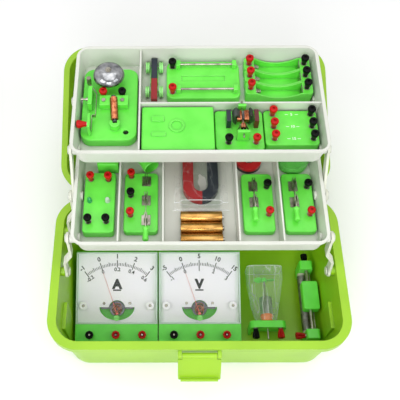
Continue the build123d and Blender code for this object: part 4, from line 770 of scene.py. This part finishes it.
for who, facts in meters.items():
    makeScale(who, facts)
    makeMeterDetails(who, facts)
    makeCoverRim(who, facts)
    makeNeedle(who, facts)
print("meter scales and movements made")


# motor with its fan on a moulded bridge, in a clear bag

motorShape = {"x": 92.0, "z": 27.0, "canRadius": 8.2, "rear": -6.0, "front": -32.0,
              "endTo": -40.0, "shaftFront": -62.0, "shaftRadius": 1.1, "fanY": 18.5}
fanShape = {"blades": 2, "root": 2.6, "reach": 14.0, "thick": 0.8, "rootPitch": 24,
            "tipPitch": 12, "camber": 0.55}


def makeMotor():
    axis = at(motorShape["x"], 0, motorShape["z"]) @ turnAbout("X", -90)
    r = motorShape["canRadius"]
    front, rear = motorShape["front"], motorShape["rear"]
    can = turned([(0, front), (r - 0.4, front), (r, front + 0.5), (r, rear - 1.3),
                  (r - 0.4, rear - 0.5), (r - 1.2, rear), (3.2, rear), (3.0, rear + 1.2),
                  (1.4, rear + 1.2), (0, rear + 1.2)], 48)
    finishPiece("motorCan", can, "drawnSteel", "case", axis,
                replaces=["motor_can"])
    end = motorShape["endTo"] + 0.3
    cap = turned([(0, end), (r - 0.9, end), (r - 0.5, front - 1.5), (r + 0.15, front - 0.6),
                  (r + 0.15, front + 1.8), (r - 0.2, front + 2.3), (0, front + 2.3)], 48)
    finishPiece("motorEndCap", cap, "orangeEndPlastic", "case", axis)
    fan = turned([(0, 3.6), (1.6, 3.6), (3.0, 2.8), (3.4, 1.4), (3.4, -2.0), (0, -2.0)], 32)
    # a pitched, rounded paddle with a twist from root to tip
    wing = bmesh.new()
    rows = []
    for out in range(9):
        share = out / 8
        reach = fanShape["root"] + (fanShape["reach"] - fanShape["root"]) * share
        half = 2.0 + 4.8 * math.sin(math.pi * min(share, 0.86) ** 0.8)
        pitch = math.radians(fanShape["rootPitch"]
                             - (fanShape["rootPitch"] - fanShape["tipPitch"]) * share)
        runs = [half * (across / 3 - 1) for across in range(7)]
        rows.append([wing.verts.new(Vector((reach, run * math.cos(pitch),
                                            run * math.sin(pitch) * fanShape["camber"])) * mm)
                     for run in runs])
    bridge(wing, rows, closed=False)
    wing.normal_update()
    bmesh.ops.solidify(wing, geom=wing.faces[:], thickness=fanShape["thick"] * mm)
    addParts(fan, wing, *[turnAbout("Z", 360 * blade / fanShape["blades"])
                          for blade in range(fanShape["blades"])])
    finishPiece("motorFan", fan, "springGreenAbs", "motor_rotor",
                axis @ at(0, 0, motorShape["fanY"]), replaces=["motor_rotor"])
    tip, wide, hub = motorShape["shaftFront"], motorShape["shaftRadius"], motorShape["fanY"] + 1
    shaft = turned([(0, tip), (0.7, tip), (wide, tip + 0.5), (wide, hub), (0, hub)], 24)
    finishPiece("motorShaft", shaft, "springSteel", "motor_rotor", axis)


makeMotor()

standShape = {"rear": -40.0, "front": -49.0, "half": 23.0, "leg": 3.2, "foot": 3.0, "top": 36.5,
              "under": 19.0, "round": 6.0, "chamfer": 2.0}


def makeMotorStand():
    # a moulded bridge on two slim legs, with rounded shoulders
    half, foot, r = standShape["half"], standShape["foot"], standShape["round"]
    under, cut = standShape["under"], standShape["chamfer"]
    inner = half - standShape["leg"]
    outline = [(half, foot)]
    for middle, start in ((half - r, 0), (r - half, 90)):
        for step in range(9):
            angle = math.radians(start + 90 * step / 8)
            outline.append((middle + r * math.cos(angle),
                            standShape["top"] - r + r * math.sin(angle)))
    outline += [(-half, foot), (-inner, foot), (-inner, under - cut), (cut - inner, under),
                (inner - cut, under), (inner, under - cut), (inner, foot)]
    finishPiece("motorStand", slab(outline, standShape["front"], standShape["rear"]),
                "springGreenAbs", "case", at(motorShape["x"], 0, 0),
                replaces=["motor_bracket"])


makeMotorStand()

motorBag = {"front": -39.6, "rear": 34.9, "rows": 56, "around": 64, "ripple": 1.3,
            "film": "creasedFilm", "glintingHems": (0.985,), "frontHalf": 13.0, "rearHalf": 23.6,
            "halfTall": 12.5, "swell": 3.6, "wideFrom": 0.74, "flatFrom": 0.995, "sag": 1.3}
magnetBag = {"front": middleTray.y - 24.0, "rear": middleTray.y + 64.0, "rows": 50, "around": 72,
             "ripple": 0.9, "film": "pouchFilm", "glintingHems": (0.02, 0.13), "x": 3.0, "z": 7.1,
             "half": 31.4, "magnetHalf": 21.8, "halfTall": 6.4, "lipShare": 0.16, "endFrom": 0.93}


def filmShell(name, section, bag, body, node):
    # a thin bag lofted through closed sections; small creases run out of its gathered ends
    made = bmesh.new()
    around = [2 * math.pi * step / bag["around"] for step in range(bag["around"])]

    def depth(share):
        return bag["front"] + (bag["rear"] - bag["front"]) * share

    rings = []
    for k in range(bag["rows"] + 1):
        share = k / bag["rows"]
        ring = []
        for angle in around:
            x, z, loose = section(share, angle)
            wave = noise.noise(Vector((math.cos(angle) * 2.2, share * 3.1, math.sin(angle) * 2.2)))
            fine = noise.noise(Vector((math.cos(angle) * 6 + 7, share * 9, math.sin(angle) * 6)))
            pleat = math.cos(9 * angle + 2.5 * share) * math.sin(math.pi * share) * 0.35
            push = (wave + fine * 0.45 + pleat) * bag["ripple"] * loose
            ring.append(made.verts.new(Vector((x + push * math.cos(angle), depth(share),
                                               z + push * math.sin(angle))) * mm))
        rings.append(ring)
    bridge(made, rings)
    finishPiece(name, made, bag["film"], body, replaces=[node], sharp=70)
    # sealed or folded edges run round some of the sections; they are drawn milky white,
    # partly as painted glints
    edges = bmesh.new()
    for share in bag["glintingHems"]:
        corners = [section(share, angle) for angle in around]
        addParts(edges, wire([Vector((x, depth(share), z)) * mm for x, z, loose in corners],
                             0.4, 6, closed=True))
    finishPiece(name + "HemsAndGlints", edges, "filmHem", body, sharp=70)


def motorSection(share, angle):
    # gathered at the bracket, widening to a boxed end that is folded flat behind the fan
    grow = min(share / motorBag["wideFrom"], 1.0)
    wide = motorBag["frontHalf"] + (motorBag["rearHalf"] - motorBag["frontHalf"]) * grow
    tall = motorBag["halfTall"] + motorBag["swell"] * math.sin(math.pi / 2 * min(share * 2.2, 1))
    square = 0.75 - 0.4 * grow
    shut = 1.0 if share < motorBag["flatFrom"] else 0.04
    x = wide * shut * squared(math.cos(angle), square)
    z = tall * shut * squared(math.sin(angle), square)
    sag = motorBag["sag"] * math.sin(math.pi * min(share * 1.35, 1.0))
    return (motorShape["x"] + x - 1.5 * (1 - grow), motorShape["z"] + z - sag,
            (1.1 - 0.75 * grow) * shut)


def magnetSection(share, angle):
    # a flat pouch drawn over the magnet; its open end is a wide pressed lip
    # and its sides stand out past the magnet as flat wings
    lip = max(0.0, 1 - share / magnetBag["lipShare"])
    lip = lip * lip * (3 - 2 * lip)
    end = max(0.0, (share - magnetBag["endFrom"]) / (1 - magnetBag["endFrom"]))
    wide = magnetBag["half"] + 1.2 * lip - 1.5 * end
    x = wide * squared(math.cos(angle), 0.7)
    wing = min(max((abs(x) - magnetBag["magnetHalf"]) / 4.5, 0.0), 1.0)
    wing = wing * wing * (3 - 2 * wing)
    tall = (magnetBag["halfTall"] - 3.0 * end) * (1 - lip) * (1 - wing) + 0.45
    z = tall * squared(math.sin(angle), 0.35)
    return (magnetBag["x"] + x, middleTray.z + magnetBag["z"] + z - 1.2 * lip, 0.5 + 0.5 * wing)


filmShell("motorBag", motorSection, motorBag, "case", "motor_bag")
filmShell("magnetBag", magnetSection, magnetBag, "mid_tray", "magnet_bag")
print("bags and motor made")


# rheostat: closely wound wire on its tube

rheostatShape = {"x": 143.8, "y": -11.0, "z": 20.0, "length": 76.0, "radius": 5.75, "wire": 0.3,
                 "turns": 84}


def makeRheostat():
    turns = rheostatShape["turns"]
    path = helix(rheostatShape["radius"], rheostatShape["length"] / turns, turns, 24)
    place = at(rheostatShape["x"], rheostatShape["y"], rheostatShape["z"]) @ turnAbout("Z", 90)
    finishPiece("rheostatWire", wire(path, rheostatShape["wire"], 6), "nichromeWire", "case",
                place, replaces=["rheostat_winding"], sharp=80)


makeRheostat()


# lamps and cells of the middle tray

lampShape = {"radius": 2.5, "flange": 3.0, "rise": 7.6, "y": -13.0, "foot": 12.0,
             "greenX": -127.4, "clearX": -106.5}


def makeLamps():
    r, flange = lampShape["radius"], lampShape["flange"]
    for label, x, replaced in (("Green", lampShape["greenX"], ["leds"]),
                               ("Clear", lampShape["clearX"], [])):
        lens = turned([(0, -0.4), (flange, -0.4), (flange, 0.8), (r, 0.9), (r, 4.9),
                       (r * 0.94, 5.9), (r * 0.72, 6.9), (r * 0.4, 7.45),
                       (0, lampShape["rise"])], 32)
        place = at(x, lampShape["y"], lampShape["foot"], middleTray)
        finishPiece("lamp" + label, lens, "lampEpoxy" + label, "mid_tray", place,
                    replaces=replaced, sharp=50)
        # lead frame seen inside the lens: an anvil and a post
        inside = block(-1.3, 0.5, -0.35, 0.35, 0.9, 4.6, 0.15)
        addParts(inside, block(0.8, 1.4, -0.3, 0.3, 0.9, 4.2, 0.12))
        finishPiece("lampLeads" + label, inside, "springSteel", "mid_tray", place)


makeLamps()

cellShape = {"middleX": 3.0, "rows": [-61.2, -46.75, -32.3], "z": 7.4, "radius": 7.05,
             "length": 49.2}


def makeCells():
    r, length = cellShape["radius"], cellShape["length"]
    places = [at(cellShape["middleX"] - length / 2, row, cellShape["z"], middleTray)
              @ turnAbout("Y", 90) for row in cellShape["rows"]]
    jackets = bmesh.new()
    addParts(jackets, turned([(r - 1.0, 0.5), (r - 0.4, 0.25), (r, 0.9), (r, length - 1.6),
                              (r - 0.4, length - 1.0), (r - 1.2, length - 0.9),
                              (r - 1.3, length - 1.3), (0, length - 1.3)], 48), *places)
    finishPiece("cellJackets", jackets, "goldLacquer", "mid_tray",
                replaces=["aa_cells"])
    ends = bmesh.new()
    addParts(ends, turned([(0, 0), (r - 1.4, 0), (r - 1.0, 0.5), (r - 1.2, 1.2), (0, 1.2)], 40),
             *places)
    addParts(ends, turned([(0, length - 1.5), (3.4, length - 1.5), (2.9, length - 1.1),
                           (2.75, length + 0.8), (2.45, length + 1.1), (0, length + 1.15)], 32),
             *places)
    finishPiece("cellEnds", ends, "nickelPlate", "mid_tray")


makeCells()


# electric bell: gong, coil and its fittings

bellShape = {"gongX": -105.0, "gongY": 33.5, "rim": 18.4, "rimZ": 26.0, "rise": 10.0}
bellCoil = {"x": -97.6, "y": -11.0, "z": 20.0, "turn": 4.5, "length": 31.0,
            "layers": (3.3, 4.1), "pitch": 0.84, "wire": 0.44, "coreRadius": 2.5, "coreOut": 3.4}


def makeBell():
    r, rise = bellShape["rim"], bellShape["rise"]
    outer = [(r, 0), (r, 0.9), (r * 0.985, 1.8), (r * 0.93, 4.1), (r * 0.83, 6.2),
             (r * 0.68, 8.0), (r * 0.5, 9.2), (r * 0.3, 9.8), (2.2, rise)]
    inner = [(2.2, rise - 0.9), (r * 0.3, 8.9), (r * 0.5, 8.3), (r * 0.68, 7.1),
             (r * 0.82, 5.4), (r * 0.92, 3.2), (r - 1.1, 0.9), (r - 1.1, 0), (r, 0)]
    place = at(bellShape["gongX"], bellShape["gongY"], bellShape["rimZ"], upperTray)
    finishPiece("bellGong", turned(outer + inner, 96), "chromePlate", "upper_tray",
                place, replaces=["bell_gong"], sharp=60)
    post = turned([(0, -14.2), (3.2, -14.2), (3.2, -12.4), (2.0, -12.2), (2.0, rise - 0.9),
                   (0, rise - 0.9)], 32)
    finishPiece("bellPost", post, "nickelPlate", "upper_tray", place)
    # six sides make the nut
    nut = turned([(0, rise - 0.05), (3.9, rise - 0.05), (3.9, rise + 0.5), (2.9, rise + 0.6),
                  (2.9, rise + 2.2), (1.4, rise + 2.3), (1.4, rise + 3.2), (0, rise + 3.3)], 6)
    finishPiece("bellNut", nut, "nickelPlate", "upper_tray", place, sharp=30)
    lie = at(bellCoil["x"], bellCoil["y"], bellCoil["z"], upperTray) \
        @ turnAbout("Z", 90 + bellCoil["turn"])
    length, pitch = bellCoil["length"], bellCoil["pitch"]
    coil = bmesh.new()
    for radius in bellCoil["layers"]:
        addParts(coil, wire(helix(radius, pitch, length / pitch, 26), bellCoil["wire"], 6))
    finishPiece("bellCoil", coil, "enamelledCopper", "upper_tray", lie,
                replaces=["bell_coil"], sharp=80)
    wide, end = bellCoil["coreRadius"], length / 2 + bellCoil["coreOut"]
    core = turned([(0, -end), (wide - 0.3, -end), (wide, 0.4 - end), (wide, end - 0.4),
                   (wide - 0.3, end), (0, end)], 32)
    finishPiece("bellCore", core, "sheetSteelDark", "upper_tray",
                lie @ turnAbout("Y", 90))


makeBell()
print("bell made")


# electric motor model: wound rotor between two field magnets

rotorShape = {"x": 49.0, "y": -27.0, "z": 27.0, "span": 24.0, "rim": 2.4, "neck": 2.9,
              "stampings": 11, "stampingHalf": 0.42}
windingShape = {"wire": 0.62, "layers": 3, "perLayer": 8, "inside": 3.2, "longer": 2.6,
                "firstX": 1.9, "uneven": 0.03}
commutatorShape = {"front": -17.0, "rear": -11.0, "outer": 3.1, "inner": 2.4, "halfAngle": 84}
rotorCentre = at(rotorShape["x"], rotorShape["y"], rotorShape["z"], upperTray)


def makeRotorCore():
    # thin stampings stacked along the axle, each with two curved poles on a narrow neck
    half, neck = rotorShape["span"] / 2, rotorShape["neck"]
    within = half - rotorShape["rim"]
    outline = []
    for side in (1, -1):
        for step in range(13):
            angle = math.radians(-50 + 100 * step / 12)
            outline.append((side * half * math.cos(angle), side * half * math.sin(angle)))
        for step in range(13):
            angle = math.radians(46 - 92 * step / 12)
            if abs(math.sin(angle) * within) > neck:
                outline.append((side * within * math.cos(angle), side * within * math.sin(angle)))
            elif step == 6:
                outline += [(side * (within - 0.2), side * neck), (side * 0.2, side * neck)]
    core = bmesh.new()
    thick, each = rotorShape["stampingHalf"], rotorShape["stampings"] // 2
    for y in range(-each, each + 1):
        addParts(core, slab(outline, y - thick, y + thick))
    finishPiece("rotorCore", core, "sheetSteelDark", "armature", rotorCentre,
                replaces=["armature"], sharp=30)


def makeCommutator():
    # two copper shells on a black sleeve
    segments = bmesh.new()
    front, rear, outer, inner, spread = commutatorShape.values()
    for side in (0, 180):
        shell = bmesh.new()
        angles = [math.radians(side - spread + 2 * spread * k / 14) for k in range(15)]
        rings = [[shell.verts.new(Vector((radius * math.cos(angle), y,
                                          radius * math.sin(angle))) * mm) for angle in angles]
                 for y, radius in ((front, outer), (front, inner), (rear, inner), (rear, outer))]
        bridge(shell, rings, closed=False, loop=True)
        for end in (0, -1):
            shell.faces.new([ring[end] for ring in rings])
        addParts(segments, shell)
    finishPiece("rotorCommutator", segments, "enamelledCopper", "armature",
                rotorCentre)
    sleeve = turned([(0, 10.8), (2.35, 10.8), (2.35, 17.2), (0, 17.2)], 24)
    finishPiece("rotorSleeve", sleeve, "blackCapPlastic", "armature",
                rotorCentre @ turnAbout("X", 90))


def makeWinding():
    # hand-wound loops on both sides of the axle, each slightly uneven
    winding = bmesh.new()
    wireMm = windingShape["wire"]
    random.seed(4)
    for side in (-1, 1):
        for layer in range(windingShape["layers"]):
            reach = windingShape["inside"] + layer * wireMm * 0.9
            for turn in range(windingShape["perLayer"]):
                x = side * (windingShape["firstX"] + turn * wireMm + 0.2 * (layer % 2))
                loop = []
                for k in range(24):
                    angle = 2 * math.pi * k / 24
                    bulge = 1 + windingShape["uneven"] * random.uniform(-1, 1)
                    loop.append(Vector((
                        x,
                        (reach + windingShape["longer"]) * bulge * squared(math.cos(angle), 0.62),
                        reach * bulge * squared(math.sin(angle), 0.62))) * mm)
                addParts(winding, wire(loop, wireMm * 0.5, 6, closed=True))
    finishPiece("rotorWinding", winding, "enamelledCopper", "armature",
                rotorCentre, sharp=80)


def makeRotor():
    makeRotorCore()
    axle = turned([(0, -29.5), (0.7, -29.5), (1.1, -29.0), (1.1, 20.6), (0.7, 21.2), (0, 21.2)],
                  24)
    finishPiece("rotorAxle", axle, "nickelPlate", "armature",
                rotorCentre @ turnAbout("X", -90))
    makeCommutator()
    makeWinding()


makeRotor()


def makeBrushes():
    # two sprung strips that touch the commutator
    strips = bmesh.new()
    for side in (-1, 1):
        points = [Vector((side * x, y, z)) for x, y, z in (
            (6.0, -20.5, -12.4), (6.0, -17.5, -9), (5.4, -15.4, -4), (3.5, -14.2, 0.6),
            (3.7, -14.0, 3.4))]
        for nearer, further in zip(points, points[1:]):
            run = further - nearer
            addParts(strips, block(-1.3, 1.3, -0.2, 0.2, -0.2, run.length + 0.2, 0.1),
                     frameOf(nearer * mm, run) @ turnAbout("Z", 90))
    finishPiece("rotorBrushes", strips, "springSteel", "upper_tray", rotorCentre)


makeBrushes()


# knife switches: blade, its pin and a green moulded grip

switches = {
    "double_throw_blade": {"x": -61.4, "pivot": -10.5, "reach": 41.5},
    "left_switch_blade": {"x": 65.0, "pivot": 8.0, "reach": 35.0},
    "right_switch_blade": {"x": 112.4, "pivot": 8.0, "reach": 35.0},
}
bladeShape = {"thick": 1.0, "width": 5.0, "height": 15.0, "tail": 4.0, "inGrip": 6.0,
              "grip": 3.6, "gripLength": 17.0, "overlap": 3.0}


def makeBlade(nodeName, facts):
    place = at(facts["x"], facts["pivot"], bladeShape["height"], middleTray)
    half, wide, reach = bladeShape["thick"] / 2, bladeShape["width"] / 2, facts["reach"]
    blade = block(-half, half, -reach - bladeShape["inGrip"], bladeShape["tail"], -wide, wide,
                  0.18)
    finishPiece(nodeName + "Strip", blade, "nickelPlate", nodeName, place,
                replaces=[nodeName])
    g, long = bladeShape["grip"], bladeShape["gripLength"]
    grip = turned([(0, 0), (g - 1.2, 0), (g - 0.3, 0.35), (g, 1.1), (g, 2.6), (g - 0.7, 3.4),
                   (g - 0.95, 5.5), (g - 0.6, 9.5), (g - 0.1, 13.2), (g, 15.2), (g - 0.5, 16.4),
                   (g - 1.6, long), (0, long)], 40)
    finishPiece(nodeName + "Grip", grip, "springGreenAbs", nodeName,
                place @ at(0, bladeShape["overlap"] - reach, 0) @ turnAbout("X", 90))


for nodeName, facts in switches.items():
    makeBlade(nodeName, facts)


# the round case, the plain box and the open tube in the middle tray

roundCase = {"x": 116.0, "y": 48.5, "radius": 20.0, "height": 12.0}
openTube = {"x": -64.0, "y": 48.6, "z": 10.2, "turn": 30}


def makeCases():
    r, h = roundCase["radius"], roundCase["height"]
    dish = turned([(0, 0), (r - 1.4, 0), (r - 0.6, 0.5), (r - 0.5, 6.6), (r - 1.8, 6.9),
                   (r - 1.9, 8.4), (r - 3.2, 8.4), (r - 3.4, 5.2), (r - 6.0, 5.0),
                   (r - 6.3, 5.8), (r - 7.0, 5.8), (r - 7.2, 5.0), (0, 4.8)], 72)
    place = at(roundCase["x"], roundCase["y"], 0, middleTray)
    finishPiece("roundCaseDish", dish, "springGreenAbs", "mid_tray", place)
    lid = turned([(r - 0.35, 3.4), (r, 3.4), (r, h - 1.3), (r - 0.5, h - 0.3), (r - 1.5, h),
                  (r - 3.4, h), (r - 3.8, h - 0.7), (0, h - 0.7), (0, h - 1.6),
                  (r - 3.4, h - 1.6), (r - 1.4, h - 1.4), (r - 0.9, h - 2.4), (r - 0.35, 3.4)],
                 72)
    finishPiece("roundCaseLid", lid, "greenTintLid", "mid_tray", place)
    box = block(-120.5, -95.0, 32.0, 60.0, 0, 20.0, 1.2)
    finishPiece("plainBox", box, "springGreenAbs", "mid_tray",
                at(0, 0, 0, middleTray), replaces=["parts_cases"])
    tube = turned([(9.7, -17), (10.0, -16.6), (10.0, 16.6), (9.7, 17), (8.9, 17), (8.6, 16.6),
                   (8.6, -14.8), (0, -14.9), (0, -17), (9.7, -17)], 48)
    finishPiece("openTube", tube, "springGreenAbs", "mid_tray",
                at(openTube["x"], openTube["y"], openTube["z"], middleTray)
                @ turnAbout("Z", openTube["turn"]) @ turnAbout("X", 90))


makeCases()


# small printed values beside the resistors, each between two dashes

resistorMarks = {"x": 107.0, "z": 14.05, "dashX": 5.8, "size": (3.6, 0, 0.08),
                 "rows": ((-15.5, "5"), (-32.5, "10"), (-49.2, "15"))}


def makeResistorMarks():
    marks = bmesh.new()
    x, z, aside = resistorMarks["x"], resistorMarks["z"], resistorMarks["dashX"]
    for row, value in resistorMarks["rows"]:
        addLetters(marks, value, at(x, row, z + 0.01, upperTray), resistorMarks["size"])
        addParts(marks, block(-1.8, 1.8, -0.3, 0.3, -0.05, 0.04),
                 at(x - aside, row, z, upperTray), at(x + aside, row, z, upperTray))
    finishPiece("resistorValues", marks, "paleInk", "upper_tray")


makeResistorMarks()


# contact springs of the three battery holders: they narrow towards the cell

holderShape = {"x": 68.5, "firstY": 21.9, "pitch": 18.4, "z": 9.0, "rounds": 4.5, "wide": 4.7,
               "narrow": 2.4, "length": 5.6, "wire": 0.42}


def makeHolderSprings():
    points = []
    for k in range(76):
        share = k / 75
        angle = 2 * math.pi * holderShape["rounds"] * share
        radius = holderShape["wide"] - (holderShape["wide"] - holderShape["narrow"]) * share
        points.append(Vector((0.4 + holderShape["length"] * share, radius * math.cos(angle),
                              radius * math.sin(angle))) * mm)
    springs = bmesh.new()
    addParts(springs, wire(points, holderShape["wire"]),
             *[at(holderShape["x"], holderShape["firstY"] + row * holderShape["pitch"],
                  holderShape["z"], upperTray) for row in range(3)])
    finishPiece("holderSprings", springs, "springSteel", "upper_tray", sharp=70)


makeHolderSprings()
print("motor model, switches and small parts made")


# camera, floor, light

cameraPlace = {"place": (-0.034, -0.3092, 0.8413), "tilt": 29, "roll": 0.4, "lens": 58.5,
               "sensor": 36, "shift": 0.086}
lightBoxes = {
    # two soft boxes in front, left and right, a low one that reaches into the open case, and a
    # broad one overhead
    "leftSoftBox": {"place": (-1.15, -0.75, 1.35), "aim": (0, 0.02, 0.1), "size": 0.9,
                    "watts": 8.0},
    "rightSoftBox": {"place": (1.2, -0.6, 1.3), "aim": (0, 0.02, 0.1), "size": 0.9,
                     "watts": 7.2},
    "lowSoftBox": {"place": (-0.1, -1.0, 0.95), "aim": (-0.03, 0.0, 0.04), "size": 0.6,
                   "watts": 6.5},
    "overheadBox": {"place": (0.0, 0.25, 1.9), "aim": (0, 0.05, 0), "size": 1.6, "watts": 10.5},
}
floorShape = {"half": 30.0, "z": -0.0005, "glow": 0.07}


def makeCamera():
    camera = addObject("camera", bpy.data.cameras.new("camera"))
    bpy.context.scene.camera = camera
    camera.location = cameraPlace["place"]
    camera.rotation_euler = (math.radians(cameraPlace["tilt"]), math.radians(cameraPlace["roll"]),
                             0)
    camera.data.lens = cameraPlace["lens"]
    camera.data.sensor_width = cameraPlace["sensor"]
    camera.data.shift_x = cameraPlace["shift"]


def makeLights():
    for name, facts in lightBoxes.items():
        light = bpy.data.lights.new(name, "AREA")
        light.shape = "SQUARE"
        light.size = facts["size"]
        light.energy = facts["watts"]
        holder = addObject(name, light)
        holder.location = facts["place"]
        aim = Vector(facts["aim"]) - Vector(facts["place"])
        holder.rotation_euler = aim.to_track_quat("-Z", "Y").to_euler()


def makeFloor():
    # matt table top: nearly white, with a faint speckle
    made, tree, place = startMaterial("paleTable")
    speck = addNode(tree, "TexNoise", {"Scale": perMetre(3), "Detail": 4.0}, {"Vector": place})
    tone = addNode(tree, "ValToRGB", {"stops": [(0.3, "#f6f6f6"), (0.7, "#fafafa")]},
                   {"Fac": speck.outputs["Fac"]})
    skin = addNode(tree, "BsdfPrincipled", {"Roughness": 0.9,
                                            "Emission Color": hexColour("#ffffff"),
                                            "Emission Strength": floorShape["glow"]},
                   {"Base Color": tone.outputs["Color"]})
    addNode(tree, "OutputMaterial", links={"Surface": skin.outputs["BSDF"]})
    mesh = bpy.data.meshes.new("floor")
    half = floorShape["half"]
    mesh.from_pydata([(x * half, y * half, floorShape["z"])
                      for x, y in ((-1, -1), (1, -1), (1, 1), (-1, 1))], [], [(0, 1, 2, 3)])
    mesh.materials.append(made)
    floor = addObject("floor", mesh)


def makeWorld():
    # plain fill light; the camera, glass and polished metal see white
    world = bpy.data.worlds.new("studio")
    bpy.context.scene.world = world
    world.use_nodes = True
    tree = world.node_tree
    tree.nodes.clear()
    ray = addNode(tree, "LightPath")
    either = addNode(tree, "Math", {"operation": "MAXIMUM"},
                     {0: ray.outputs["Is Camera Ray"], 1: ray.outputs["Is Transmission Ray"]})
    seen = addNode(tree, "Math", {"operation": "MAXIMUM"},
                   {0: either.outputs["Value"], 1: ray.outputs["Is Glossy Ray"]})
    fill = addNode(tree, "Background", {"Color": hexColour("#ffffff"), "Strength": 0.5})
    white = addNode(tree, "Background", {"Color": hexColour("#ffffff"), "Strength": 1.0})
    mix = addNode(tree, "MixShader", links={0: seen.outputs["Value"],
                                            1: fill.outputs["Background"],
                                            2: white.outputs["Background"]})
    addNode(tree, "OutputWorld", links={"Surface": mix.outputs["Shader"]})


makeCamera()
makeLights()
makeFloor()
makeWorld()
bpy.context.scene.view_settings.view_transform = "Standard"
